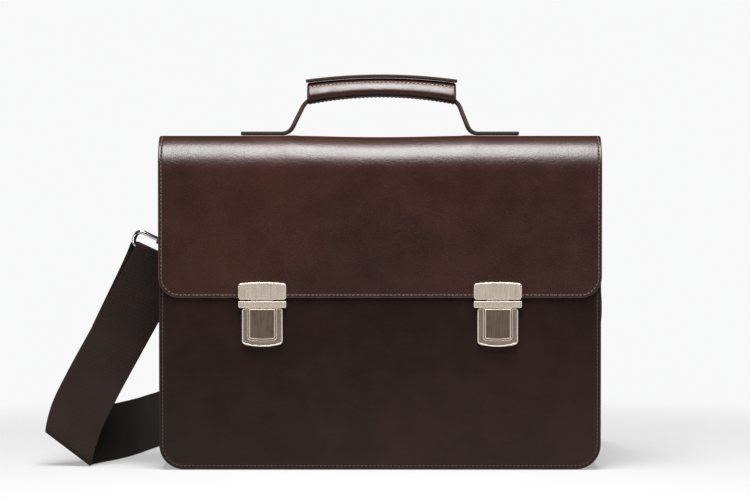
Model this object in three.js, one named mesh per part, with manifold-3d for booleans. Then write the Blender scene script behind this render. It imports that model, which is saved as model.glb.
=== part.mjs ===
// A leather document case with a front flap, two push locks, a padded handle and a shoulder strap.
// Millimetres; x to the right, y to the back, z up; the origin is the middle of the underside.
import * as THREE from "three";
import { mergeVertices } from "three/addons/utils/BufferGeometryUtils.js";
import Module from "manifold-3d";

const wasm = await Module();
wasm.setup();

// Driving dimensions
const TOUCH = 0.3; // air between two pieces that touch
const SLIDE = 0.35; // air round a piece that slides
const BODY = { width: 397.2, height: 300, depth: 110, corner: 22.5, mouth: 38 };
const LEATHER = 3; // wall of the panels and of the flap
const FLAP = { over: 1, edge: 154.6, bend: 30, corner: 19, dip: 1.3 };
const GUSSET = { wall: 2, seam: 7, bend: 2.5, recess: 33, strip: 14, sole: 38, fold: 26, full: 165, flat: 3 };
const HANDLE = { strap: 3.6, width: 28, narrow: 18, foot: 44, feet: 165, grip: 138, shift: 1.5, bend: 7 };
const GRIP = {
  width: 25, rise: 7, base: 28.3, skin: 2, height: 19.6, middle: 17.3, strip: 3, top: 13, overhang: 1.2,
  round: 1.6, widest: 0.38, above: 1.1, below: 0.7, sides: 18,
};
const LOCK = { spacing: 211.2, width: 42.8, bevel: 0.8, corner: 2.6, gap: 1.3 };
const CAP = { height: 14.2, thick: 4.5, bulge: 1.4, below: 1.3 };
const TONGUE = { width: 20, thick: 1.6, length: 6.8, inset: 1 };
const BAR = { height: 6.1, thick: 7.2, corner: 1.2 };
const PLATE = { width: 36.2, height: 32, thick: 5.6, bulge: 2.8, rim: 1.8, recess: 0.9, ridge: 1.65 };
const BUTTON = {
  width: 23.5, height: 27, thick: 4, corner: 1.6, bulge: 0.9, proud: 1.2, travel: 1.5, drop: 0.7,
};
const RING = { wire: 4, inside: 55.6, gap: 9.5, corner: 4.5, sides: 8 };
const TAB = { width: 20, wall: 2, top: 255, sewn: 26, bow: 12 };
const STRAP = {
  width: 51.5, thick: 1.8, tail: 88, closes: 0.8, slip: 5.5, slips: 0.12, hang: 12, clear: 3.6,
};
const RING_HEIGHT = 195.3; // middle of both shoulder rings
// How far each ring hangs off the gusset's strip, how much its long bars lean from level, and the way they
// point in plan: the strap pulls the left one outwards and the right one to the back.
const LEFT_RING = { off: 31.2, lean: 25, towards: 180, side: -1 };
const RIGHT_RING = { off: 24.8, lean: 30, towards: 78, side: 1 };

// Places that follow from them
const HALF = BODY.width / 2;
const FLAP_HALF = HALF + FLAP.over;
const PANEL_TOP = BODY.height - BODY.mouth;
const FRONT = -BODY.depth / 2; // outside of the front panel
const FLAP_FACE = FRONT - TOUCH - LEATHER; // outside of the flap
const BESIDE = HALF + STRAP.clear + STRAP.thick / 2; // the strap's middle where it passes a panel's edge
const STRAP_FOLD = RING.wire / 2 + TOUCH + STRAP.thick / 2; // radius of its middle round a ring's bar
const RAD = Math.PI / 180;

const LEATHER_BROWN = { color: 0x3d2a26, roughness: 0.42, metalness: 0 };
const EDGE_BROWN = { color: 0x33221f, roughness: 0.6, metalness: 0 };
const WEBBING = { color: 0x2b201d, roughness: 0.9, metalness: 0 };
const NICKEL = { color: 0xcfc5b6, roughness: 0.32, metalness: 1 };
const DARK_NICKEL = { color: 0x8a7d6d, roughness: 0.38, metalness: 1 };

// Small helpers
const mix = (a, b, share) => a + (b - a) * share;
const smooth = (value, low, high) => THREE.MathUtils.smoothstep(value, low, high);
const vec = (x, y, z) => new THREE.Vector3(x, y, z);
const along = (start, direction, length) => start.clone().addScaledVector(direction, length);
const range = (count) => Array.from({ length: count + 1 }, (_, i) => i / count);

// Closed surface through rings of points, each ring with an even count; the first and last are capped,
// or joined to each other where the body closes on itself.
function loft(rings, closed = false) {
  const count = rings[0].length;
  const triangles = [];
  const quad = (a, b, c, d) => triangles.push(a, b, c, a, c, d);
  const spans = closed ? rings.length : rings.length - 1;
  for (let i = 0; i < spans; i++) {
    const here = i * count;
    const next = ((i + 1) % rings.length) * count;
    for (let j = 0; j < count; j++) {
      const k = (j + 1) % count;
      quad(here + j, here + k, next + k, next + j);
    }
  }
  if (!closed) {
    const last = (rings.length - 1) * count;
    for (let j = 0; j < count / 2 - 1; j++) {
      const k = count - 1 - j;
      quad(k, k - 1, j + 1, j);
      quad(last + j, last + j + 1, last + k - 1, last + k);
    }
  }
  const points = rings.flat();
  const geometry = new THREE.BufferGeometry().setFromPoints(points);
  let volume = 0;
  for (let i = 0; i < triangles.length; i += 3) {
    const [a, b, c] = [0, 1, 2].map((corner) => points[triangles[i + corner]]);
    volume += a.dot(b.clone().cross(c));
  }
  geometry.setIndex(volume < 0 ? triangles.reverse() : triangles);
  return geometry;
}

// Wall of even thickness on both sides of a grid of points.
function wall(grid, thickness) {
  const step = (list, i) => {
    const before = list[Math.max(i - 1, 0)];
    return list[Math.min(i + 1, list.length - 1)].clone().sub(before);
  };
  return loft(
    grid.map((row, i) => {
      const normals = row.map((_, j) => {
        const column = grid.map((other) => other[j]);
        return step(column, i).cross(step(row, j)).normalize();
      });
      const above = row.map((point, j) => along(point, normals[j], thickness / 2));
      const below = row.map((point, j) => along(point, normals[j], -thickness / 2));
      return [...above, ...below.reverse()];
    }),
  );
}

// Rounded rectangle in x and z, with its lower or upper edge bulging by some millimetres.
function plateOutline({ width, height, corner, bulge = 0, up = false, inset = 0 }) {
  const [w, h] = [width / 2 - inset, height / 2 - inset];
  const r = Math.max(corner - inset, 0.3);
  const points = [];
  const signs = [[1, 1], [-1, 1], [-1, -1], [1, -1]];
  signs.forEach(([sx, sz], quarter) => {
    for (const share of range(3)) {
      const angle = (quarter + share) * 90 * RAD;
      points.push([sx * (w - r) + r * Math.cos(angle), sz * (h - r) + r * Math.sin(angle)]);
    }
    if (sz < 0 === !up && sx === (up ? 1 : -1))
      for (const share of [1 / 6, 1 / 3, 1 / 2, 2 / 3, 5 / 6])
        points.push([mix(sx * (w - r), -sx * (w - r), share), sz * h]);
  });
  if (points.length % 2) points.push([w, 0]);
  return points.map(([x, z]) => {
    const edge = up ? z > 0 : z < 0;
    const lift = edge ? bulge * (1 - (x / w) ** 2) * Math.min(Math.abs(z) / h, 1) : 0;
    return [x, z + (up ? lift : -lift)];
  });
}

// Plate of such an outline that stands forwards from y = 0, its front edge bevelled.
function plate(shape, thick, bevel) {
  const ring = (inset, y) => plateOutline({ ...shape, inset }).map(([x, z]) => vec(x, y, z));
  const rings = [ring(0, 0), ring(0, bevel - thick)];
  if (bevel) rings.push(ring(bevel, -thick));
  return loft(rings);
}

function solid(geometry) {
  const merged = mergeVertices(geometry, 1e-4);
  const mesh = { numProp: 3, vertProperties: merged.attributes.position.array };
  return new wasm.Manifold(new wasm.Mesh({ ...mesh, triVerts: new Uint32Array(merged.index.array) }));
}

function geometryOf(manifold) {
  const { vertProperties, triVerts } = manifold.getMesh();
  const geometry = new THREE.BufferGeometry();
  geometry.setAttribute("position", new THREE.BufferAttribute(vertProperties, 3));
  return geometry.setIndex(new THREE.BufferAttribute(triVerts, 1));
}

function named(name, geometry, finish) {
  geometry.computeVertexNormals();
  const mesh = new THREE.Mesh(geometry, new THREE.MeshStandardMaterial(finish));
  mesh.name = name;
  return mesh;
}

// Half width of a panel with rounded lower corners, at a height above its lower edge.
function halfWidth(half, corner, height) {
  const into = Math.max(corner - height, 0);
  return half - corner + Math.sqrt(corner ** 2 - into ** 2);
}

// Heights that follow a rounded corner, from its lower edge to where the side runs straight.
const cornerHeights = (corner) => range(7).map((share) => corner * (1 - Math.cos(share * 90 * RAD)));

function frontPanel() {
  const heights = [...cornerHeights(BODY.corner), PANEL_TOP];
  const grid = heights.map((z) => {
    const half = halfWidth(HALF, BODY.corner, z);
    return [-1, 0, 1].map((share) => vec(share * half, FRONT + LEATHER / 2, z));
  });
  return named("front_panel", wall(grid, LEATHER), LEATHER_BROWN);
}

// One wall: up the back, over the top and down the front as the flap.
function backAndFlap() {
  const bend = FLAP.bend - LEATHER / 2;
  const back = -FRONT - LEATHER / 2;
  const front = FLAP_FACE + LEATHER / 2;
  const shoulder = BODY.height - FLAP.bend;
  const rows = cornerHeights(BODY.corner).map((z) => {
    return { y: back, z, half: halfWidth(HALF, BODY.corner, z) };
  });
  for (const share of range(8)) {
    const angle = share * 90 * RAD;
    const y = back - bend + bend * Math.cos(angle);
    rows.push({ y, z: shoulder + bend * Math.sin(angle), half: mix(HALF, FLAP_HALF, share) });
  }
  for (const share of range(8)) {
    const angle = (1 - share) * 90 * RAD;
    const y = front + bend - bend * Math.cos(angle);
    rows.push({ y, z: shoulder + bend * Math.sin(angle), half: FLAP_HALF });
  }
  for (const z of cornerHeights(FLAP.corner).reverse())
    rows.push({ y: front, z: FLAP.edge + z, half: halfWidth(FLAP_HALF, FLAP.corner, z) });

  // Between the handle's feet the top sags a little.
  const sag = HANDLE.feet / 2 / FLAP_HALF;
  const shares = [-1, -0.7, -sag, -0.75 * sag, -0.5 * sag, -0.25 * sag];
  const columns = [...shares, 0, ...shares.map((share) => -share).reverse()];
  const grid = rows.map(({ y, z, half }) =>
    columns.map((share) => {
      const middle = Math.max(1 - (share / sag) ** 2, 0) ** 2;
      const top = Math.max(z - shoulder, 0) / FLAP.bend;
      return vec(share * half, y, z - FLAP.dip * middle * top);
    }),
  );
  return named("back_and_flap", wall(grid, LEATHER), LEATHER_BROWN);
}

// Stations round both sides and the bottom, on the panels' outline, each with the way inwards.
function seamStations() {
  const upper = [1, 0.72, 0.41, 0.2].map((share) => mix(GUSSET.full, PANEL_TOP, share));
  const lower = range(10).slice(1).reverse().map((share) => mix(BODY.corner, GUSSET.full, share));
  const left = [...upper, ...lower].map((z) => ({ x: -HALF, z, inwards: vec(1, 0, 0) }));
  const centre = HALF - BODY.corner;
  for (const share of range(6)) {
    const angle = share * 90 * RAD;
    const inwards = vec(Math.cos(angle), 0, Math.sin(angle));
    const [x, z] = [-centre - BODY.corner * inwards.x, BODY.corner * (1 - inwards.z)];
    left.push({ x, z, inwards });
  }
  const right = left.map(({ x, z, inwards }) => ({ x: -x, z, inwards: vec(-inwards.x, 0, inwards.z) }));
  return [...left, ...right.reverse()];
}

// Wall round the sides and bottom: its edges turn outwards at the seams, the sides fold inwards as a
// bellows with a flat strip down their middle, and the bottom sags to the surface it stands on.
function gusset() {
  const { wall: thick, seam, bend } = GUSSET;
  const edge = -FRONT - LEATHER - TOUCH - thick / 2;
  const diagonal = bend * (1 - Math.SQRT1_2);
  const grid = seamStations().map(({ x, z, inwards }) => {
    const fold = smooth(z, GUSSET.fold, GUSSET.full);
    const half = mix(GUSSET.sole, GUSSET.strip, fold);
    const depth = mix(thick / 2, GUSSET.recess + thick / 2, fold);
    const section = [
      [edge, 0],
      [edge, seam - bend],
      [edge - diagonal, seam - diagonal],
      [edge - bend, seam],
      [half, depth],
      [half - GUSSET.flat, depth],
    ];
    const mirrored = section.map(([y, inset]) => [-y, inset]).reverse();
    return [...section, [0, depth], ...mirrored].map(([y, inset]) =>
      vec(x, y, z).addScaledVector(inwards, inset),
    );
  });
  return named("gusset", wall(grid, thick), LEATHER_BROWN);
}

// Height of the handle strap's middle inside the grip, which is arched.
const archAt = (x) => GRIP.rise * (1 - (2 * (x - HANDLE.shift) / HANDLE.grip) ** 2);
const underGrip = (x) => BODY.height + GRIP.base + GRIP.skin + archAt(x) + HANDLE.strap / 2;

// Strap with two flat feet, which narrows up its risers and runs through the grip; thicker all round by
// some air where it is the passage for itself.
function handleBand(air) {
  const foot = BODY.height + TOUCH + HANDLE.strap / 2;
  const { bend, shift } = HANDLE;
  const inner = HANDLE.feet / 2;
  const grip = HANDLE.grip / 2;
  const sideOf = (sign) => {
    const end = shift + sign * grip;
    const top = vec(end, 0, underGrip(end));
    const toe = vec(sign * inner, 0, foot);
    const rise = top.clone().sub(toe).normalize();
    const knee = new THREE.QuadraticBezierCurve3(
      vec(sign * (inner + bend), 0, foot), toe, along(toe, rise, bend),
    );
    const inside = vec(end - sign * bend, 0, underGrip(end - sign * bend));
    const shoulder = new THREE.QuadraticBezierCurve3(along(top, rise, -bend), top, inside);
    return [vec(sign * (inner + HANDLE.foot), 0, foot), ...knee.getPoints(5), ...shoulder.getPoints(5)];
  };
  const under = range(8).slice(1, -1).map((share) => {
    const x = mix(shift - grip + bend, shift + grip - bend, share);
    return vec(x, 0, underGrip(x));
  });
  const route = [...sideOf(-1), ...under, ...sideOf(1).reverse()];
  const grid = route.map((point) => {
    const narrowed = smooth(point.z, foot, underGrip(shift + grip));
    const half = mix(HANDLE.width, HANDLE.narrow, narrowed) / 2 + air;
    return [-1, 1].map((side) => point.clone().setY(side * half));
  });
  return wall(grid, HANDLE.strap + 2 * air);
}

const handleStrap = () => named("handle_strap", handleBand(0), EDGE_BROWN);

// Lower and upper face of the padded grip at a place along the handle.
function gripFaces(x) {
  const low = underGrip(x) - HANDLE.strap / 2 - GRIP.skin;
  const arch = archAt(x) / GRIP.rise;
  return [low, low + mix(GRIP.height, GRIP.middle, arch)];
}

function handleGrip() {
  const half = HANDLE.grip / 2 - GRIP.overhang;
  const places = [-half, -half + GRIP.round, ...range(10).slice(1, -1).map((s) => mix(-half, half, s))];
  places.push(half - GRIP.round, half);
  const rings = places.map((place, i) => {
    const [low, high] = gripFaces(place + HANDLE.shift);
    const tip = i === 0 || i === places.length - 1 ? GRIP.round : 0;
    const middle = mix(low, high, GRIP.widest);
    return range(GRIP.sides).slice(0, -1).map((share) => {
      const [c, s] = [Math.cos(share * 360 * RAD), Math.sin(share * 360 * RAD)];
      const [power, size] = s > 0 ? [GRIP.above, high - middle] : [GRIP.below, middle - low];
      const soft = (value, reach) => Math.sign(value) * Math.abs(value) ** power * reach;
      const y = soft(c, GRIP.width / 2 - tip);
      return vec(place + HANDLE.shift, y, middle + soft(s, size - tip));
    });
  });
  const grip = solid(loft(rings)).subtract(solid(handleBand(TOUCH)));
  return named("handle_grip", geometryOf(grip), LEATHER_BROWN);
}

function handleTopStrip() {
  const half = HANDLE.grip / 2;
  const grid = range(12).map((share) => {
    const x = mix(-half, half, share) + HANDLE.shift;
    const z = gripFaces(x)[1] + TOUCH + GRIP.strip / 2;
    return [-1, 1].map((side) => vec(x, (side * GRIP.top) / 2, z));
  });
  return named("handle_top_strip", wall(grid, GRIP.strip), EDGE_BROWN);
}

// Lock, in a frame whose y = 0 is the outside of the front panel and whose x = 0 is the lock's middle.
const CAP_BOTTOM = FLAP.edge - CAP.below;
const BAR_TOP = CAP_BOTTOM - LOCK.gap;
const PLATE_TOP = BAR_TOP - BAR.height;
const TONGUE_FACE = FLAP_FACE - FRONT - TOUCH - TONGUE.inset; // back of the tongue

const box = (width, thick, height) => solid(new THREE.BoxGeometry(width, thick, height).toNonIndexed()
  .deleteAttribute("normal").deleteAttribute("uv"));

function lockCap() {
  const shape = { width: LOCK.width, height: CAP.height, corner: LOCK.corner, bulge: CAP.bulge, up: true };
  const cap = plate(shape, CAP.thick, LOCK.bevel);
  cap.translate(0, FLAP_FACE - FRONT - TOUCH, CAP_BOTTOM + CAP.height / 2);
  const length = TONGUE.length + CAP.height / 2;
  const tongue = box(TONGUE.width, TONGUE.thick, length)
    .translate([0, TONGUE_FACE - TONGUE.thick / 2, CAP_BOTTOM + CAP.height / 2 - length / 2]);
  return geometryOf(solid(cap).add(tongue));
}

function lockBar() {
  const bar = plate({ width: LOCK.width, height: BAR.height, corner: BAR.corner }, BAR.thick, LOCK.bevel);
  bar.translate(0, -TOUCH, BAR_TOP - BAR.height / 2);
  const slot = box(TONGUE.width + 2 * SLIDE, TONGUE.thick + 2 * SLIDE, 2 * BAR.height)
    .translate([0, TONGUE_FACE - TONGUE.thick / 2, BAR_TOP - BAR.height / 2]);
  return geometryOf(solid(bar).subtract(slot));
}

const PLATE_SHAPE = { width: PLATE.width, height: PLATE.height, corner: LOCK.corner, bulge: PLATE.bulge };
const BUTTON_SHAPE = {
  width: BUTTON.width, height: BUTTON.height, corner: BUTTON.corner, bulge: BUTTON.bulge,
};
const BUTTON_MIDDLE = PLATE_TOP - BUTTON.drop - BUTTON.height / 2;

function lockPlate() {
  const outer = plate(PLATE_SHAPE, PLATE.thick, LOCK.bevel);
  outer.translate(0, -TOUCH, PLATE_TOP - TOUCH - PLATE.height / 2);
  const around = (air, from) => {
    const shape = { ...BUTTON_SHAPE, width: BUTTON.width + 2 * air, height: BUTTON.height + 2 * air };
    return solid(plate(shape, 2 * PLATE.thick, 0).translate(0, from, BUTTON_MIDDLE));
  };
  const face = -TOUCH - PLATE.thick;
  const field = plate({ ...PLATE_SHAPE, inset: PLATE.rim, width: PLATE.width - 2 * PLATE.rim,
    height: PLATE.height - 2 * PLATE.rim }, PLATE.thick, 0);
  field.translate(0, face + PLATE.recess, PLATE_TOP - TOUCH - PLATE.height / 2);
  const pocket = around(SLIDE, face + BUTTON.thick - BUTTON.proud + BUTTON.travel + SLIDE);
  const ridge = around(SLIDE + PLATE.ridge, 0);
  return geometryOf(solid(outer).subtract(solid(field).subtract(ridge)).subtract(pocket));
}

function lockButton() {
  const button = plate(BUTTON_SHAPE, BUTTON.thick, LOCK.bevel);
  return button.translate(0, BUTTON.thick - BUTTON.proud - TOUCH - PLATE.thick, BUTTON_MIDDLE);
}

function lock(side, x) {
  const group = new THREE.Group();
  group.position.set(x, FRONT, 0);
  group.add(named(`lock_cap_${side}`, lockCap(), NICKEL));
  group.add(named(`lock_bar_${side}`, lockBar(), NICKEL));
  group.add(named(`lock_plate_${side}`, lockPlate(), NICKEL));
  group.add(named(`lock_button_${side}`, lockButton(), DARK_NICKEL));
  return group;
}

// Frame of a shoulder ring: the way its long bars run, the way up across them, and its outer side.
function ringFrame({ off, lean, towards, side }) {
  const level = vec(Math.cos(towards * RAD), Math.sin(towards * RAD), 0);
  const [c, s] = [Math.cos(lean * RAD), Math.sin(lean * RAD)];
  const bar = level.clone().multiplyScalar(c).setZ(s);
  const up = level.clone().multiplyScalar(-s).setZ(c);
  const centre = vec(side * (HALF - GUSSET.recess + off), 0, RING_HEIGHT);
  return { centre, bar, up, out: bar.clone().cross(up).multiplyScalar(side), side };
}
const LEFT = ringFrame(LEFT_RING);
const RIGHT = ringFrame(RIGHT_RING);
const BAR_OFFSET = (RING.gap + RING.wire) / 2; // from the ring's middle to each long bar

function ring(name, { centre, bar, up, out }) {
  const radius = RING.wire / 2;
  const length = (RING.inside + RING.wire) / 2 - RING.corner;
  const height = BAR_OFFSET - RING.corner;
  const rings = [];
  [[1, 1], [-1, 1], [-1, -1], [1, -1]].forEach(([endways, upways], quarter) => {
    const corner = along(along(centre, bar, endways * length), up, upways * height);
    for (const share of range(4)) {
      const turn = (quarter + share) * 90 * RAD;
      const way = bar.clone().multiplyScalar(Math.cos(turn)).addScaledVector(up, Math.sin(turn));
      const middle = along(corner, way, RING.corner);
      rings.push(range(RING.sides).slice(0, -1).map((part) => {
        const round = part * 360 * RAD;
        return along(along(middle, way, radius * Math.cos(round)), out, radius * Math.sin(round));
      }));
    }
  });
  return named(name, loft(rings, true), NICKEL);
}

// Leather tab: a loop round the ring's upper bar, then two layers that turn and lie on the gusset's strip.
function ringTab(name, { centre, bar, up, out, side }) {
  const eye = along(centre, up, BAR_OFFSET);
  const inner = RING.wire / 2 + TOUCH;
  const half = TAB.width / 2;
  const loop = range(16).slice(0, -1).map((share) => {
    const turn = share * 360 * RAD;
    const way = up.clone().multiplyScalar(Math.cos(turn)).addScaledVector(out, Math.sin(turn));
    const corners = [[inner, -half], [inner, half], [inner + TAB.wall, half], [inner + TAB.wall, -half]];
    return corners.map(([radius, across]) => along(along(eye, way, radius), bar, across));
  });
  const seat = side * (HALF - GUSSET.recess + TOUCH + TAB.wall);
  const sewnAt = vec(seat, 0, TAB.top - TAB.sewn);
  const neck = along(eye, up, inner + TAB.wall);
  const hang = new THREE.CubicBezierCurve3(
    neck, along(neck, up, TAB.width / 2), vec(seat, 0, sewnAt.z - TAB.bow), sewnAt,
  );
  const across = vec(0, 1, 0);
  const route = [along(eye, up, inner + TAB.wall / 10), ...hang.getPoints(10), vec(seat, 0, TAB.top)];
  const grid = route.map((point, i, all) => {
    const turned = smooth(i, 1, all.length - 3);
    const way = bar.clone().lerp(across, turned).normalize();
    return [-half, 0, half].map((offset) => along(point, way, offset));
  });
  const tab = solid(loft(loop, true)).add(solid(wall(grid, 2 * TAB.wall)));
  return named(name, geometryOf(tab), EDGE_BROWN);
}

// The shoulder strap's middle line. Each row gives a place, and how the webbing's upper edge leans: by
// how much from upright, and towards which side (0 right, 90 back, 180 left). A row with no height
// stands on its lower edge.
const STRAP_ROUTE = [
  // right share, back share of the depth, height share of the rings', lean, towards
  { right: -1.198, back: -0.05, high: 0.604, lean: 65, towards: 180 },
  { right: -1.328, back: -0.11, high: 0.359, lean: 64.5, towards: 180 },
  { right: -1.392, back: -0.16, high: 0.219, lean: 61, towards: 180 },
  { right: -1.427, back: -0.2, lean: 53, towards: 178 },
  { right: -1.41, back: -0.1, lean: 46, towards: 176 },
  { right: -1.335, back: 0.12, lean: 27, towards: 176 },
  { right: -1.245, back: 0.4, lean: 13, towards: 175 },
  { right: -1.16, back: 0.9, lean: 8, towards: 180 },
  { right: -1.09, back: 1.55, lean: 8, towards: 180 },
  { right: -1.0, back: 2.2, lean: 8, towards: 150 },
  { right: -0.72, back: 2.72, lean: 6, towards: 120 },
  { right: -0.3, back: 2.98, lean: 5, towards: 90 },
  { right: 0.15, back: 3.02, lean: 5, towards: 90 },
  { right: 0.58, back: 2.82, lean: 5, towards: 60 },
  { right: 0.88, back: 2.4, lean: 6, towards: 45 },
];
// Rows that climb beside the case to the right ring: the lean follows the climb.
const STRAP_CLIMB = [
  { beside: 1.008, back: 1.78, high: 0.198, lean: 15, towards: 92 },
  { beside: 1.012, back: 1.08, high: 0.358, lean: 30, towards: 90 },
  { beside: 1.0, back: 0.475, high: 0.618, lean: 45, towards: 78 },
];

function strapRows() {
  const widthWay = ({ lean, towards }) => {
    const flat = Math.sin(lean * RAD);
    return vec(flat * Math.cos(towards * RAD), flat * Math.sin(towards * RAD), Math.cos(lean * RAD));
  };
  const row = (entry, x) => {
    const z = entry.high ? entry.high * RING_HEIGHT : (STRAP.width / 2) * Math.cos(entry.lean * RAD);
    return { place: vec(x, entry.back * BODY.depth, z), way: widthWay(entry) };
  };
  const below = ({ centre, up, out, bar }, drop) =>
    ({ place: along(along(centre, up, -BAR_OFFSET - drop), out, STRAP_FOLD), way: bar });
  return [
    below(LEFT, 0),
    below(LEFT, STRAP.hang),
    ...STRAP_ROUTE.map((entry) => row(entry, entry.right * HALF)),
    ...STRAP_CLIMB.map((entry) => row(entry, entry.beside * BESIDE)),
    below(RIGHT, STRAP.hang),
    below(RIGHT, 0),
  ];
}

// One length of webbing: a tail folded back behind it at each ring, and the run between them.
function shoulderStrap() {
  const rows = strapRows();
  const placeCurve = new THREE.CatmullRomCurve3(rows.map(({ place }) => place), false, "centripetal");
  const wayCurve = new THREE.CatmullRomCurve3(rows.map(({ way }) => way), false, "centripetal");
  const shares = range((rows.length - 1) * 6);
  const run = shares.map((share) => {
    return { place: placeCurve.getPoint(share), way: wayCurve.getPoint(share).normalize() };
  });
  run.forEach((station, i) => {
    const ahead = run[Math.min(i + 1, run.length - 1)].place;
    station.away = i ? station.place.distanceTo(run[i - 1].place) + run[i - 1].away : 0;
    station.facing = ahead.clone().sub(run[Math.max(i - 1, 0)].place).cross(station.way).normalize();
    const { facing, way, place } = station;
    place.z = Math.max(place.z, (STRAP.width * Math.abs(way.z) + STRAP.thick * Math.abs(facing.z)) / 2);
  });
  const total = run[run.length - 1].away;
  // The tail lies on the inner side of the run, apart by the ring's bar at its fold and touching further on.
  const tailOf = (stations, fromRing) => stations
    .filter((s) => fromRing(s) > RING.wire && fromRing(s) < STRAP.tail)
    .map((s) => {
      const share = fromRing(s) / STRAP.tail;
      const apart = mix(2 * STRAP_FOLD, STRAP.thick + TOUCH, smooth(share, 0, STRAP.closes));
      const slipped = STRAP.slip * smooth(share, 0, STRAP.slips) * (1 - share);
      const place = along(along(s.place, s.facing, apart), s.way, slipped);
      return { place, way: s.way };
    });
  const foldAt = ({ centre, up, out, bar }) => {
    const axis = along(centre, up, -BAR_OFFSET);
    return range(8).slice(0, -1).map((share) => {
      const turn = share * 180 * RAD;
      const place = along(along(axis, up, STRAP_FOLD * Math.sin(turn)), out, -STRAP_FOLD * Math.cos(turn));
      return { place, way: bar };
    });
  };
  const left = [...tailOf(run, (s) => s.away).reverse(), ...foldAt(LEFT)];
  const right = [...foldAt(RIGHT).reverse(), ...tailOf(run, (s) => total - s.away).reverse()];
  const grid = [...left, ...run, ...right].map(({ place, way }) =>
    [-1, 0, 1].map((share) => along(place, way, (share * STRAP.width) / 2)),
  );
  return named("shoulder_strap", wall(grid, STRAP.thick), WEBBING);
}

const root = new THREE.Group();
root.add(frontPanel(), backAndFlap(), gusset());
root.add(handleStrap(), handleGrip(), handleTopStrip());
root.add(lock("left", -LOCK.spacing / 2), lock("right", LOCK.spacing / 2));
root.add(ring("ring_left", LEFT), ring("ring_right", RIGHT));
root.add(ringTab("ring_tab_left", LEFT), ringTab("ring_tab_right", RIGHT));
root.add(shoulderStrap());

export default root;
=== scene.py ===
"""Looks of a leather document case with two push locks, a padded handle and a webbing shoulder strap.

Metres, with x to the right, y to the back and z up. The case stands on z = 0 and faces -y.
"""
import logging
import math
from collections.abc import Callable
from dataclasses import dataclass, field
from enum import Enum

import bpy
import numpy as np
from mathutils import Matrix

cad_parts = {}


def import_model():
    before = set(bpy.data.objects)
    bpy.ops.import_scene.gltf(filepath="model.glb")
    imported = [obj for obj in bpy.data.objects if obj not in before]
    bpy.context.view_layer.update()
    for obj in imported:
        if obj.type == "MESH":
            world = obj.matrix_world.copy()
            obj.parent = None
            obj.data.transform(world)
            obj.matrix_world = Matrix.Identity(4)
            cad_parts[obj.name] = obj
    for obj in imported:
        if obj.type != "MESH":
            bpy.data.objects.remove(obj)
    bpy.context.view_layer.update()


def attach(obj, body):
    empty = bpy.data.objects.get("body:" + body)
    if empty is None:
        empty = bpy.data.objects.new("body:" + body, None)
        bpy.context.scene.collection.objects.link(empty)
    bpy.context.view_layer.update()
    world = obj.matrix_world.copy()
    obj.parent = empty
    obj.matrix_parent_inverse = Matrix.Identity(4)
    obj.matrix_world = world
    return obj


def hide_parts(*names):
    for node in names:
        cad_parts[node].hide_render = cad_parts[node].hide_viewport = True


LOG = logging.getLogger("document_case")
Array = np.ndarray
MM = 0.001
TOUCH = 0.3 * MM
HALF = 198.6 * MM
FLAP_HALF = 199.6 * MM
HEIGHT = 300 * MM
PANEL_TOP = 262 * MM
DEPTH = 110 * MM
FRONT = -DEPTH / 2
LEATHER_WALL = 3 * MM
FLAP_EDGE = 154.6 * MM
RECESS = 33 * MM


class Side(Enum):
    """The left or right of the case, as seen from its front."""

    LEFT = -1
    RIGHT = 1

    @property
    def word(self) -> str:
        """The side's name in the model's own names."""
        return self.name.lower()


def unit(vectors: Array) -> Array:
    """Vectors scaled to a length of one."""
    return vectors / np.maximum(np.linalg.norm(vectors, axis=-1, keepdims=True), 1e-12)


def ease(value: Array, low: float, high: float) -> Array:
    """Smooth step: 0 below low, 1 above high, and 3s^2 - 2s^3 between them."""
    share = np.clip((value - low) / (high - low), 0, 1)
    return share * share * (3 - 2 * share)


def gathered(line: Array, pitch: float, closed: bool = False) -> Array:
    """Spaces points evenly along a polyline.

    Args:
        line: points (n, d) of the polyline.
        pitch: the wanted distance between two points.
        closed: whether the line's end joins its start.

    Returns:
        Points (m, d), whose distance is the nearest one to pitch that fits a whole number of times.
    """
    if closed:
        line = np.vstack([line, line[:1]])
    away = np.concatenate([[0], np.cumsum(np.linalg.norm(np.diff(line, axis=0), axis=1))])
    count = max(int(round(away[-1] / pitch)), 2)
    at = np.linspace(0, away[-1], count if closed else count + 1, endpoint=not closed)
    return np.stack([np.interp(at, away, line[:, k]) for k in range(line.shape[1])], -1)


def curve_through(points: Array, steps: int) -> Array:
    """Centripetal Catmull-Rom curve: cubic spans whose knots are the roots of the distances.

    Args:
        points: points (n, 3) that the curve passes through.
        steps: how many points each span gets.

    Returns:
        Points ((n - 1) * steps + 1, 3) of the curve.
    """
    ends = np.vstack([2 * points[0] - points[1], points, 2 * points[-1] - points[-2]])
    knot = np.sqrt(np.linalg.norm(np.diff(ends, axis=0), axis=1))[:, None]
    p0, p1, p2, p3 = ends[:-3], ends[1:-2], ends[2:-1], ends[3:]
    k1 = np.where(knot[1:-1] < 0.01, 1.0, knot[1:-1])
    k0, k2 = (np.where(side < 0.01, k1, side) for side in (knot[:-2], knot[2:]))
    m1 = ((p1 - p0) / k0 - (p2 - p0) / (k0 + k1) + (p2 - p1) / k1) * k1
    m2 = ((p2 - p1) / k1 - (p3 - p1) / (k1 + k2) + (p3 - p2) / k2) * k1
    t = np.linspace(0, 1, steps, endpoint=False)[None, :, None]
    p1, p2, m1, m2 = (a[:, None, :] for a in (p1, p2, m1, m2))
    spans = p1 + m1 * t + (3 * (p2 - p1) - 2 * m1 - m2) * t**2 + (2 * (p1 - p2) + m1 + m2) * t**3
    return np.vstack([spans.reshape(-1, points.shape[1]), points[-1:]])


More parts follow.
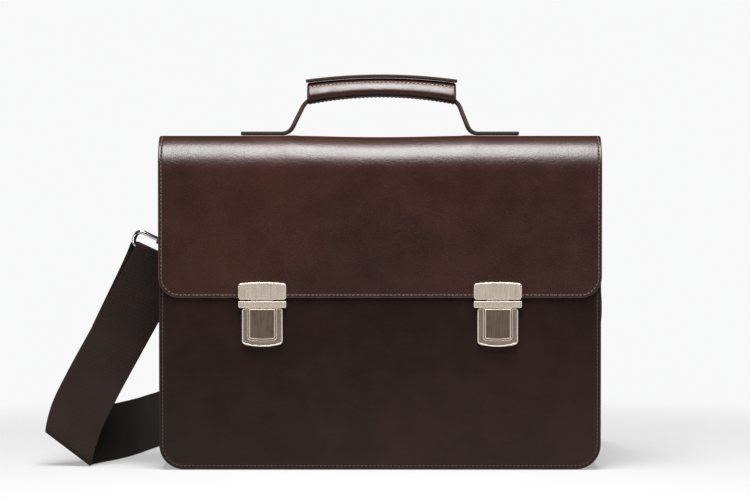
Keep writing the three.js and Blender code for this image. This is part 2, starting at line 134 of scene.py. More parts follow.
def soft_noise(u: Array, v: Array, size: float, seed: int) -> Array:
    """Smooth noise from -1 to 1: a lattice of seeded random values, eased between its points.

    Args:
        u: first coordinate.
        v: second coordinate, of the same shape.
        size: distance between two lattice points.
        seed: picks the lattice.

    Returns:
        Noise of the coordinates' shape.
    """
    lattice = np.random.default_rng(seed).uniform(-1, 1, (64, 64))
    a, b = np.floor(u / size).astype(int), np.floor(v / size).astype(int)
    p, q = ease(u / size - a, 0, 1), ease(v / size - b, 0, 1)
    corner = [[lattice[(a + i) % 64, (b + j) % 64] for j in (0, 1)] for i in (0, 1)]
    near = corner[0][0] * (1 - q) + corner[0][1] * q
    far = corner[1][0] * (1 - q) + corner[1][1] * q
    return near * (1 - p) + far * p


def grid_quads(rows: int, columns: int, wrap: bool = False, ring: bool = False) -> Array:
    """Corner numbers of the quads on a grid of points.

    Args:
        rows: how many rows of points.
        columns: how many points in a row.
        wrap: whether each row closes on itself.
        ring: whether the last row joins the first.

    Returns:
        Corner numbers (n, 4).
    """
    index = np.arange(rows * columns).reshape(rows, columns)
    if wrap:
        index = np.hstack([index, index[:, :1]])
    if ring:
        index = np.vstack([index, index[:1]])
    corners = [index[:-1, :-1], index[1:, :-1], index[1:, 1:], index[:-1, 1:]]
    return np.stack(corners, -1).reshape(-1, 4)


# Shader maths


class Tree:
    """The nodes of one material or world, with one method that makes any of them."""

    def __init__(self, owner: bpy.types.Material | bpy.types.World) -> None:
        """Empties the owner's nodes.

        Args:
            owner: the material or world.
        """
        owner.use_nodes = True
        self.nodes, self.links = owner.node_tree.nodes, owner.node_tree.links
        self.nodes.clear()

    def node(self, kind: str, settings: dict | None = None, inputs: dict | None = None,
             output: int | str | None = 0) -> "Value | None":
        """Adds a node.

        Args:
            kind: the node's type, without its ShaderNode beginning.
            settings: properties that are set first; "stops" fills a ramp.
            inputs: values or links of its sockets, by name or place.
            output: the socket that is wanted, or none of a node that ends the tree.

        Returns:
            The output socket, ready for maths.
        """
        made = self.nodes.new("ShaderNode" + kind)
        for name, value in (settings or {}).items():
            if name == "stops":
                for place, colour in value[2:]:
                    made.color_ramp.elements.new(place)
                for element, (place, colour) in zip(made.color_ramp.elements, value):
                    element.position, element.color = place, colour
            else:
                setattr(made, name, value)
        for name, value in (inputs or {}).items():
            if isinstance(value, Value):
                self.links.new(value.socket, made.inputs[name])
            else:
                made.inputs[name].default_value = value
        return None if output is None else Value(self, made.outputs[output])

    def mark(self, name: str) -> "Value":
        """A number that the mesh carries at each point."""
        return self.node("Attribute", {"attribute_name": name}, output="Fac")

    def place(self, scale: tuple[float, float, float] = (1, 1, 1)) -> "Value":
        """Object coordinates, scaled along each axis."""
        where = self.node("TexCoord", output="Object")
        return self.node("Mapping", None, {"Vector": where, "Scale": scale})

    def noise(self, scale: float, detail: float = 3,
              stretch: tuple[float, float, float] = (1, 1, 1)) -> "Value":
        """Noise from 0 to 1 in object coordinates."""
        sockets = {"Vector": self.place(stretch), "Scale": scale, "Detail": detail, "Roughness": 0.55}
        return self.node("TexNoise", None, sockets)

    def blend(self, share: "Value", low: "Value | tuple", high: "Value | tuple") -> "Value":
        """A colour between two others."""
        return self.node("Mix", {"data_type": "RGBA"}, {"Factor": share, 6: low, 7: high}, output=2)

    def end(self, shader: "Value", kind: str = "OutputMaterial") -> None:
        """Joins a shader to the output node."""
        self.node(kind, None, {"Surface": shader}, None)

    def finish(self, sockets: dict) -> None:
        """Makes the surface shader from those sockets and joins it to the output."""
        self.end(self.node("BsdfPrincipled", None, sockets))


class Value:
    """A socket that adds Math nodes when it stands in a sum or product."""

    def __init__(self, tree: Tree, socket: bpy.types.NodeSocket) -> None:
        """Wraps a socket of that tree."""
        self.tree, self.socket = tree, socket

    def maths(self, operation: str, first: "Value | float", second: "Value | float" = 0.0) -> "Value":
        """A Math node on two values."""
        return self.tree.node("Math", {"operation": operation}, {0: first, 1: second})

    def __add__(self, other: "Value | float") -> "Value":
        """Sum."""
        return self.maths("ADD", self, other)

    __radd__ = __add__

    def __mul__(self, other: "Value | float") -> "Value":
        """Product."""
        return self.maths("MULTIPLY", self, other)

    __rmul__ = __mul__

    def __sub__(self, other: "Value | float") -> "Value":
        """Difference."""
        return self.maths("SUBTRACT", self, other)

    def __rsub__(self, other: "Value | float") -> "Value":
        """Difference the other way round."""
        return self.maths("SUBTRACT", other, self)

    def __pow__(self, power: float) -> "Value":
        """Power."""
        return self.maths("POWER", self, power)

    def within(self, low: float, high: float) -> "Value":
        """0 below low, 1 above high and a smooth step between."""
        sockets = {"Value": self, "From Min": low, "From Max": high}
        return self.tree.node("MapRange", {"interpolation_type": "SMOOTHSTEP"}, sockets)

    def wave(self) -> "Value":
        """Size of the sine of half turns: 0 at whole numbers, 1 halfway between them."""
        return self.maths("ABSOLUTE", self.maths("SINE", self * math.pi))


Colour = tuple[float, float, float, float]


def seen(red: float, green: float, blue: float) -> Colour:
    """A colour given as it shows on a screen, made linear.

    Args:
        red: red from 0 to 255.
        green: green from 0 to 255.
        blue: blue from 0 to 255.

    Returns:
        The linear colour, opaque.
    """
    shown = np.array([red, green, blue]) / 255
    linear = np.where(shown < 0.04045, shown / 12.92, ((shown + 0.055) / 1.055) ** 2.4)
    return (float(linear[0]), float(linear[1]), float(linear[2]), 1.0)


class Finish:
    """A finish that makes its material once."""

    name: str
    slot: str

    def paint(self, tree: Tree) -> None:
        """Adds the finish's nodes to that tree."""
        raise NotImplementedError

    def material(self) -> bpy.types.Material:
        """The finish's material.

        Returns:
            The one made before, or else a new one.
        """
        made = bpy.data.materials.get(self.name)
        if made is None:
            made = bpy.data.materials.new(self.name)
            self.paint(Tree(made))
        return made


@dataclass(frozen=True)
class Leather(Finish):
    """Smooth full-grain leather with a polished surface, a fine grain and uneven dye."""

    name: str = "case_leather"
    slot: str = "leather"
    deep: Colour = seen(34, 14, 8)
    warm: Colour = seen(52, 22, 13)
    edge: Colour = seen(64, 36, 28)
    roughness: float = 0.36
    gloss: float = 0.38
    coat: float = 0.25

    def paint(self, tree: Tree) -> None:
        """Dye clouds and a pebbled tone for the colour, with painted shade darkening the creases and seam
        grooves; cells, pores, soft dents and long wrinkles for the relief.

        Args:
            tree: the material's nodes.
        """
        clouds, drift = tree.noise(7, 4), tree.noise(38, 4)
        pores, pebble, dents = tree.noise(1400, 2), tree.noise(330, 3), tree.noise(95, 3)
        sockets = {"Vector": tree.place(), "Scale": 720.0, "Smoothness": 0.6}
        cells = tree.node("TexVoronoi", {"feature": "SMOOTH_F1"}, sockets)
        wrinkle = tree.noise(70, 5, (1, 1, 1.7)) - 0.5
        crease = 1 - wrinkle.maths("ABSOLUTE", wrinkle).within(0.0, 0.035)
        dye = (clouds * 0.9 + drift * 0.35 - 0.12).within(0.2, 0.85)
        colour = tree.blend(dye, self.deep, self.warm)
        # creases are painted darker than the leather round them (painted shade); the pebble noise is a random
        # tone
        colour = tree.blend(crease * 0.22 + (pebble - 0.5) * 0.3, colour, self.deep)
        shadow = (*(part * 0.35 for part in self.deep[:3]), 1.0)
        # the seam groove is painted nearly black: painted shade
        colour = tree.blend(tree.mark("groove") * 0.7, colour, shadow)
        colour = tree.blend(tree.mark("rim") * 0.6, colour, self.edge)
        relief = cells * 0.14 + pores * 0.07 + pebble * 0.26 + dents * 0.5 - crease * 0.12
        bump = tree.node("Bump", None, {"Strength": 1.0, "Distance": 0.00034, "Height": relief})
        rough = self.roughness + (drift - 0.5) * 0.16 + (cells - 0.4) * 0.08 + tree.mark("rim") * 0.2
        level = {"Specular IOR Level": self.gloss, "Coat Weight": self.coat, "Coat Roughness": 0.32}
        tree.finish({"Base Color": colour, "Roughness": rough, "Normal": bump, **level})


@dataclass(frozen=True)
class Thread(Finish):
    """Waxed thread of two twisted strands, and the holes it passes through, painted near-black as painted
    shade.
    """

    name: str = "case_thread"
    slot: str = "edge_leather"
    light: Colour = seen(112, 78, 65)
    dark: Colour = seen(66, 43, 35)
    hole: Colour = seen(12, 7, 6)
    twist: float = 1100

    def paint(self, tree: Tree) -> None:
        """Slanting strands along the thread, and one near-black tone in the holes, which is painted shade.

        Args:
            tree: the material's nodes.
        """
        strand = (tree.mark("run") * self.twist + tree.mark("round") * 1.0).wave()
        colour = tree.blend(strand.within(0.1, 0.8), self.dark, self.light)
        # the hole beads get a near-black colour: painted shade
        colour = tree.blend(tree.mark("hole"), colour, self.hole)
        bump = tree.node("Bump", None, {"Strength": 0.5, "Distance": 0.0001, "Height": strand})
        rough = 0.55 + tree.mark("hole") * 0.3
        tree.finish({"Base Color": colour, "Roughness": rough, "Normal": bump})


@dataclass(frozen=True)
class Webbing(Finish):
    """Close-woven webbing: warp rows along its length that cross over a weft, with firm edges."""

    name: str = "case_webbing"
    slot: str = "webbing"
    crest: Colour = seen(54, 40, 36)
    valley: Colour = seen(15, 10, 8)
    # colour of the inner face: painted shade
    inside: Colour = seen(18, 13, 11)
    rib: float = 1.5 * MM
    row: float = 1.1 * MM

    def paint(self, tree: Tree) -> None:
        """A brick weave from the distances along and across the strap, with painted shade on its inner face.

        Args:
            tree: the material's nodes.
        """
        along, across = tree.mark("along"), tree.mark("across")
        rows = across * (1 / self.row)
        shift = rows.maths("PINGPONG", rows.maths("FLOOR", rows), 1.0) * 0.5
        weave = (along * (1 / self.rib) + shift).wave() ** 0.6 * (rows.wave() ** 0.5)
        fuzz, fade = tree.noise(2600, 2), tree.noise(24, 4)
        light = (weave * 0.75 + fuzz * 0.3 + fade * 0.3 - 0.2).within(0.1, 1.1)
        colour = tree.blend(light, self.valley, self.crest)
        # the inner face, marked back, is painted darker: painted shade
        colour = tree.blend(tree.mark("back") * 0.75, colour, self.inside)
        height = weave + fuzz * 0.15
        bump = tree.node("Bump", None, {"Strength": 0.7, "Distance": 0.0003, "Height": height})
        sheen = {"Sheen Weight": 0.02, "Sheen Roughness": 0.5, "Specular IOR Level": 0.1}
        tree.finish({"Base Color": colour, "Roughness": 0.78 + fuzz * 0.15, "Normal": bump, **sheen})


@dataclass(frozen=True)
class Metal(Finish):
    """Plated metal, brushed along one axis or polished."""

    name: str
    slot: str
    tone: Colour
    shade: Colour
    # colour of the sunk places: painted shade
    deep: Colour
    # colour of the bevels: a painted highlight
    bevel_highlight: Colour
    roughness: float
    brush: tuple[float, float, float] = (1, 1, 1)
    depth: float = 0.3
    streak: float = 0.0

    def paint(self, tree: Tree) -> None:
        """Fine lines from stretched noise, with small smudges in the gloss, a painted highlight on the bevels
        and painted shade in the sunk places.

        Args:
            tree: the material's nodes.
        """
        coarse = tuple(size * share for size, share in zip(self.brush, (0.26, 0.26, 0.5)))
        lines = tree.noise(1, 3, self.brush) * 0.5 + tree.noise(1, 2, coarse) * 0.5
        smudge = tree.noise(130, 4)
        colour = tree.blend((lines * 1.1 + smudge * 0.35 - 0.3).within(0.1, 0.8), self.shade, self.tone)
        # the sunk field and the pocket's floor are painted darker: painted shade
        colour = tree.blend(tree.mark("sunk"), colour, self.deep)
        # bevels, marked edge, are painted lighter: painted highlight
        colour = tree.blend(tree.mark("edge"), colour, self.bevel_highlight)
        bump = tree.node("Bump", None, {"Strength": self.depth, "Distance": 0.00006, "Height": lines})
        rough = self.roughness + (lines - 0.5) * 0.16 + (smudge - 0.5) * 0.14 + tree.mark("edge") * 0.15
        brushed = {"Metallic": 1.0, "Anisotropic": self.streak}
        tree.finish({"Base Color": colour, "Roughness": rough, "Normal": bump, **brushed})


LEATHER = Leather()
# A darker, less glossy copy of the case leather for the front panel and the gusset; its darker colour is
# painted shade.
SHADED_PANEL_LEATHER = Leather(
    name="panel_leather", deep=seen(23, 11, 8), warm=seen(37, 19, 14), edge=seen(50, 30, 24),
    gloss=0.2, coat=0.05)
HANDLE_LEATHER = Leather(
    name="handle_leather", slot="edge_leather", deep=seen(44, 21, 15), warm=seen(62, 33, 25),
    edge=seen(26, 17, 14), roughness=0.6, gloss=0.42, coat=0.0)
THREAD = Thread()
DARK_THREAD = Thread(name="dark_thread", light=seen(68, 45, 37), dark=seen(40, 25, 20))
PALE_THREAD = Thread(name="pale_thread", light=seen(176, 138, 126), dark=seen(104, 72, 62))
WEBBING = Webbing()
NICKEL = Metal(
    name="brushed_nickel", slot="nickel", tone=seen(250, 235, 220), shade=seen(206, 190, 175),
    deep=seen(62, 52, 44), bevel_highlight=seen(255, 243, 230), roughness=0.48, brush=(5200, 5200, 70),
    depth=0.5, streak=0.85)
BUTTON_NICKEL = Metal(
    name="button_nickel", slot="dark_nickel", tone=seen(150, 132, 115), shade=seen(96, 82, 70),
    deep=seen(60, 50, 42), bevel_highlight=seen(246, 230, 212), roughness=0.46, brush=(6000, 6000, 60),
    depth=0.6, streak=0.85)
WIRE = Metal(
    name="polished_wire", slot="ring_metal", tone=seen(236, 233, 230), shade=seen(200, 197, 194),
    deep=seen(90, 86, 82), bevel_highlight=seen(236, 233, 230), roughness=0.14, brush=(300, 300, 300), depth=0.1)


# Shapes


@dataclass
class Shape:
    """Points, faces and numbers at each point of one piece."""

    points: Array
    faces: list[Array]
    marks: dict[str, Array] = field(default_factory=dict)

    def volume(self) -> float:
        """Signed volume: a sixth of the sum of each triangle's triple product.

        Returns:
            The volume, above zero where the faces point outwards.
        """
        total = 0.0
        for group in self.faces:
            first = self.points[group[:, 0]]
            for k in range(1, group.shape[1] - 1):
                pair = np.cross(self.points[group[:, k]], self.points[group[:, k + 1]])
                total += float((first * pair).sum())
        return total / 6

    def outward(self) -> "Shape":
        """Turns every face round where they point inwards.

        Returns:
            The shape itself.
        """
        if self.volume() < 0:
            self.faces = [group[:, ::-1] for group in self.faces]
        return self

    def plus(self, other: "Shape") -> "Shape":
        """Both shapes as one piece; a number that one of them lacks is 0 there.

        Args:
            other: the shape that is added.

        Returns:
            The shape of both.
        """
        count, more = len(self.points), len(other.points)
        marks = {}
        for name in {**self.marks, **other.marks}:
            here, there = self.marks.get(name, np.zeros(count)), other.marks.get(name, np.zeros(more))
            marks[name] = np.concatenate([here, there])
        faces = self.faces + [group + count for group in other.faces]
        return Shape(np.vstack([self.points, other.points]), faces, marks)

    def put(self, name: str, finish: Finish, body: str = "case",
            stands_for: tuple[str, ...] = ()) -> bpy.types.Object:
        """Makes the object.

        Args:
            name: the object's name.
            finish: what it is made of.
            body: the body that it moves with.
            stands_for: nodes of the model that it is shown in place of.

        Returns:
            The object, at the origin and unturned.
        """
        mesh = bpy.data.meshes.new(name)
        mesh.from_pydata(self.points, [], [face for group in self.faces for face in group.tolist()])
        for mark, values in self.marks.items():
            layer = mesh.attributes.new(mark, "FLOAT", "POINT")
            layer.data.foreach_set("value", values.astype(np.float32).ravel())
        mesh.shade_smooth()
        mesh.materials.append(finish.material())
        made = bpy.data.objects.new(name, mesh)
        bpy.context.collection.objects.link(made)
        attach(made, body)
        if stands_for:
            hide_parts(*stands_for)
        LOG.info("%s: %d points on %s", name, len(self.points), body)
        return made


def stacked(rings: Array, ring: bool = False, edge: slice | None = None) -> Shape:
    """Closed skin through loops of points.

    Args:
        rings: loops (n, m, 3), each with m points.
        ring: whether the last loop joins the first; otherwise both end loops are filled.
        edge: loops that are marked as an edge.

    Returns:
        The shape.
    """
    rows, columns = rings.shape[:2]
    faces = [grid_quads(rows, columns, wrap=True, ring=ring)]
    if not ring:
        first = np.arange(columns)
        faces += [first[None, :], (first[::-1] + (rows - 1) * columns)[None, :]]
    marks = {}
    if edge is not None:
        at = np.zeros(rows)
        at[edge] = 1.0
        marks["edge"] = np.repeat(at, columns)
    return Shape(rings.reshape(-1, 3), faces, marks).outward()


def walled(outer: Array, inner: Array, marks: dict[str, Array]) -> Shape:
    """Closed wall between two grids of points, with quads round their rims.

    Args:
        outer: points (n, m, 3) of one face.
        inner: points (n, m, 3) of the other.
        marks: numbers (n, m) that both faces carry.

    Returns:
        The shape.
    """
    rows, columns = outer.shape[:2]
    index = np.arange(rows * columns).reshape(rows, columns)
    quads = grid_quads(rows, columns)
    rim = np.concatenate([index[0, :-1], index[:-1, -1], index[-1, :0:-1], index[:0:-1, 0]])
    ahead, count = np.roll(rim, -1), rows * columns
    band = np.stack([rim, ahead, ahead + count, rim + count], -1)
    both = {name: np.tile(values.ravel(), 2) for name, values in marks.items()}
    points = np.vstack([outer.reshape(-1, 3), inner.reshape(-1, 3)])
    return Shape(points, [quads, quads[:, ::-1] + count, band], both).outward()


@dataclass
class Ribbon:
    """A line through space with the way across it at each point, read by the distance along it."""

    line: Array
    across: Array
    flip: bool = False

    def __post_init__(self) -> None:
        """Works out the distances and the way the ribbon faces, which is across x ahead."""
        across = np.broadcast_to(self.across, self.line.shape)
        keep = np.concatenate([[True], np.linalg.norm(np.diff(self.line, axis=0), axis=1) > 1e-7])
        self.line, self.across = self.line[keep], unit(across[keep])
        self.away = np.concatenate([[0], np.cumsum(np.linalg.norm(np.diff(self.line, axis=0), axis=1))])
        ahead = np.gradient(self.line, self.away, axis=0)
        self.facing = unit(np.cross(self.across, ahead)) * (-1 if self.flip else 1)

    @property
    def length(self) -> float:
        """Length of the line."""
        return float(self.away[-1])

    def read(self, table: Array, t: Array) -> Array:
        """A table's values at distances along the line."""
        return np.stack([np.interp(t, self.away, table[:, k]) for k in range(3)], -1)

    def at(self, s: Array, t: Array, lift: Array) -> Array:
        """Points at t along, s across and lift above the line."""
        sideways = self.read(self.across, t) * s[..., None]
        return self.read(self.line, t) + sideways + unit(self.read(self.facing, t)) * lift[..., None]


@dataclass(frozen=True)
class Stitching:
    """A row of thread: one slanting stitch per pitch, and between each two a hole, drawn as a bead that the
    thread's finish paints near-black as painted shade.
    """

    pitch: float = 3.7 * MM
    length: float = 2.5 * MM
    radius: float = 0.42 * MM
    slant: float = math.radians(9)
    sunk: float = 0.1 * MM
    hole_length: float = 1.6 * MM
    hole_radius: float = 0.7 * MM

    def bead(self, length: float, radius: float) -> tuple[Array, list[Array]]:
        """A six-sided capsule: radius times the square root of 1 - x^4, for x from -1 to 1 along it.

        Args:
            length: its length.
            radius: its radius.

        Returns:
            Its points (36, 3) and its faces.
        """
        x = np.array([-0.5, -0.42, -0.2, 0.2, 0.42, 0.5])
        size = radius * (1 - (2 * x) ** 4).clip(0.05) ** 0.5
        turn = np.arange(6) * math.tau / 6
        beside, above = np.outer(size, np.cos(turn)).ravel(), np.outer(size, np.sin(turn)).ravel()
        points = np.stack([np.repeat(x * length, 6), beside, above], -1)
        first = np.arange(6)
        caps = [first[None, :], (first[::-1] + 30)[None, :]]
        return points, [grid_quads(6, 6, wrap=True)[:, ::-1], *caps]

    def copies(self, centres: Array, ahead: Array, facing: Array, length: float, radius: float,
               hole: float) -> Shape:
        """One capsule at each centre, as a single shape.

        Args:
            centres: middles (n, 3).
            ahead: the way each capsule points.
            facing: the way out of the surface.
            length: length of a capsule.
            radius: its radius.
            hole: the number that marks it as a hole.

        Returns:
            The shape.
        """
        points, faces = self.bead(length, radius)
        aside = unit(np.cross(facing, ahead))
        out = np.cross(ahead, aside)
        frames = np.stack([ahead, aside, out], 1)
        spread = centres[:, None, :] + np.einsum("kc,ncd->nkd", points, frames)
        step = (np.arange(len(centres)) * len(points))[:, None, None]
        grouped = [(group[None] + step).reshape(-1, group.shape[1]) for group in faces]
        angle = np.arctan2(points[:, 2], points[:, 1]) / math.pi
        marks = {"run": np.tile(points[:, 0], len(centres)), "round": np.tile(angle, len(centres)),
                 "hole": np.full(len(centres) * len(points), hole)}
        return Shape(spread.reshape(-1, 3), grouped, marks).outward()

    def sewn(self, line: Array, facing: Array, closed: bool = False) -> Shape:
        """Stitches along a line of evenly spaced points.

        Args:
            line: points (n, 3), one for each stitch.
            facing: the way out of the surface at each.
            closed: whether the row closes on itself.

        Returns:
            Stitches and holes as one shape.
        """
        if closed:
            ahead = unit(np.roll(line, -1, 0) - np.roll(line, 1, 0))
        else:
            ahead = unit(np.gradient(line, axis=0))
        facing = unit(facing - ahead * (facing * ahead).sum(-1, keepdims=True))
        tilted = unit(ahead * math.cos(self.slant) + np.cross(facing, ahead) * math.sin(self.slant))
        thread = self.copies(line - facing * self.sunk, tilted, facing, self.length, self.radius, 0.0)
        gap = (line + np.roll(line, -1, 0)) / 2 if closed else (line[1:] + line[:-1]) / 2
        ways, out = (ahead, facing) if closed else (ahead[1:], facing[1:])
        depth = self.radius * 0.85
        # each hole is a bead marked 1, which the thread's finish paints near-black as painted shade
        holes = self.copies(gap - out * depth, ways, out, self.hole_length, self.hole_radius, 1.0)
        return thread.plus(holes)


STITCH = Stitching()
KNOT = Stitching(length=2.7 * MM, radius=0.62 * MM, sunk=0.0)
# Distances of a sheet's grid lines from its edge: for the large sheets, and for the small ones.
FINE_LINES = np.array([
    0, 0.2, 0.5, 0.9, 1.4, 1.9, 2.3, 2.7, 3.1, 3.5, 4.2, 5.5, 7.5, 10, 13, 16.5, 20, 24]) * MM
SMALL_LINES = np.array([0, 0.3, 0.7, 1.1, 1.6, 2.1, 2.6, 3.1, 4, 6]) * MM


@dataclass
class Sheet:
    """A sheet with rounded corners that is bent along a ribbon, with a rounded rim and a groove."""

    ribbon: Ribbon
    half: float
    wall: float
    corners: tuple[float, float] = (3 * MM, 3 * MM)
    step: float = 4.2 * MM
    rim: float = 0.9 * MM
    seam: float = 2.7 * MM
    groove: float = 0.35 * MM
    fine: Array = field(default_factory=FINE_LINES.copy)
    stations: Array | None = None
    bend: Callable[[Array, Array], Array] | None = None
    relief: Callable[[Array, Array, Array], Array] | None = None

    def cuts(self, length: float, inner: Array | None = None) -> Array:
        """Grid lines across a length: close together near both ends, and a step apart between.

        Args:
            length: the length from edge to edge.
            inner: lines to use between the close ones, or none for even steps.

        Returns:
            Distances from one edge, rising.
        """
        near = self.fine[self.fine < 0.46 * length]
        if inner is None:
            count = max(int(round((length - 2 * near[-1]) / self.step)), 1)
            inner = np.linspace(near[-1], length - near[-1], count + 1)[1:-1]
        inner = inner[(inner > near[-1] + 0.2 * MM) & (inner < length - near[-1] - 0.2 * MM)]
        return np.concatenate([near, inner, length - near[::-1]])

    def flat(self) -> tuple[Array, Array, Array]:
        """The cut sheet as a grid.

        In each corner's square the lines' squares are turned into arcs round the corner's centre: a
        point's ring is the larger of its two shares, and its angle an eighth of a turn times the smaller
        by the larger.

        Returns:
            Distance across from the middle, distance along, and distance from the edge, each (n, m).
        """
        width, length = 2 * self.half, self.ribbon.length
        s, t = np.meshgrid(self.cuts(width), self.cuts(length, self.stations))
        near_s, near_t = np.minimum(s, width - s), np.minimum(t, length - t)
        radius = np.where(t < length / 2, *self.corners)
        p, q = 1 - near_s / radius, 1 - near_t / radius
        corner = (p > 0) & (q > 0)
        ring = np.maximum(p, q)
        turn = math.pi / 4 * np.minimum(p, q) / np.where(corner, ring, 1)
        turn = np.where(p >= q, turn, math.pi / 2 - turn)
        s_in, t_in = radius * (1 - ring * np.cos(turn)), radius * (1 - ring * np.sin(turn))
        across = np.where(corner, np.where(s < width / 2, s_in, width - s_in), s)
        along = np.where(corner, np.where(t < length / 2, t_in, length - t_in), t)
        return across - self.half, along, np.minimum(near_s, near_t)

    def shape(self) -> Shape:
        """The closed sheet.

        Near its edge each face drops along a quarter circle, and at the seam by a bell-shaped groove.

        Returns:
            The shape, with its rim, groove and distances as numbers at each point.
        """
        s, t, inset = self.flat()
        into = np.clip(self.rim - inset, 0, None)
        face = self.wall / 2 - self.rim + np.sqrt(self.rim**2 - into**2)
        bell = np.exp(-(((inset - self.seam) / (0.5 * MM)) ** 2))
        dip = bell if self.groove else np.zeros_like(inset)
        whole = self.bend(s, t) if self.bend else 0.0
        outer = face - self.groove * dip + whole + (self.relief(s, t, inset) if self.relief else 0.0)
        inner = -face + self.groove * dip + whole
        marks = {"rim": 1 - ease(inset, 0.2 * MM, 0.9 * MM), "groove": dip, "along": t, "across": s}
        made = walled(self.ribbon.at(s, t, outer), self.ribbon.at(s, t, inner), marks)
        # marks the inner face, which the webbing's finish paints darker as painted shade
        made.marks["back"] = np.repeat([0.0, 1.0], s.size)
        return made

    def loop(self, inset: float, pitch: float) -> Array:
        """A closed row of points inside the edge.

        Args:
            inset: distance from the edge.
            pitch: wanted distance between two points.

        Returns:
            Evenly spaced points (n, 2), across and along.
        """
        length, turn = self.ribbon.length, np.linspace(0, math.pi / 2, 10)
        runs = []
        for quarter, (end, side) in enumerate([(1, 1), (1, -1), (0, -1), (0, 1)]):
            r = max(self.corners[end] - inset, 0.3 * MM)
            middle = [side * (self.half - inset - r), length - inset - r if end else inset + r]
            angle = turn + quarter * math.pi / 2
            runs.append(middle + r * np.stack([np.cos(angle), np.sin(angle)], -1))
        return gathered(np.vstack(runs), pitch, closed=True)

    def seamed(self, inset: float | None = None, keep: Callable[[Array], Array] | None = None,
               faces: tuple[int, ...] = (1, -1)) -> Shape:
        """Stitches round the sheet.

        Args:
            inset: distance of the row from the edge, or the sheet's own seam.
            keep: picks the points (n, 2), across and along, that have a stitch.
            faces: 1 for the outer face, -1 for the inner.

        Returns:
            The stitches of all faces as one shape.
        """
        flat = self.loop(self.seam if inset is None else inset, STITCH.pitch)
        runs = [flat]
        if keep is not None:
            kept = keep(flat)
            first = int(np.argmax(~kept))
            flat, at = np.roll(flat, -first, 0), np.flatnonzero(np.roll(kept, -first))
            runs = np.split(flat[at], np.flatnonzero(np.diff(at) > 1) + 1)
        sewn = None
        for sign in faces:
            for s, t in (run.T for run in runs):
                lift = np.full_like(s, sign * (self.wall / 2 - self.groove * 0.6))
                lift += self.bend(s, t) if self.bend else 0.0
                out = sign * unit(self.ribbon.read(self.ribbon.facing, t))
                row = STITCH.sewn(self.ribbon.at(s, t, lift), out, closed=keep is None)
                sewn = row if sewn is None else sewn.plus(row)
        return sewn


# The case


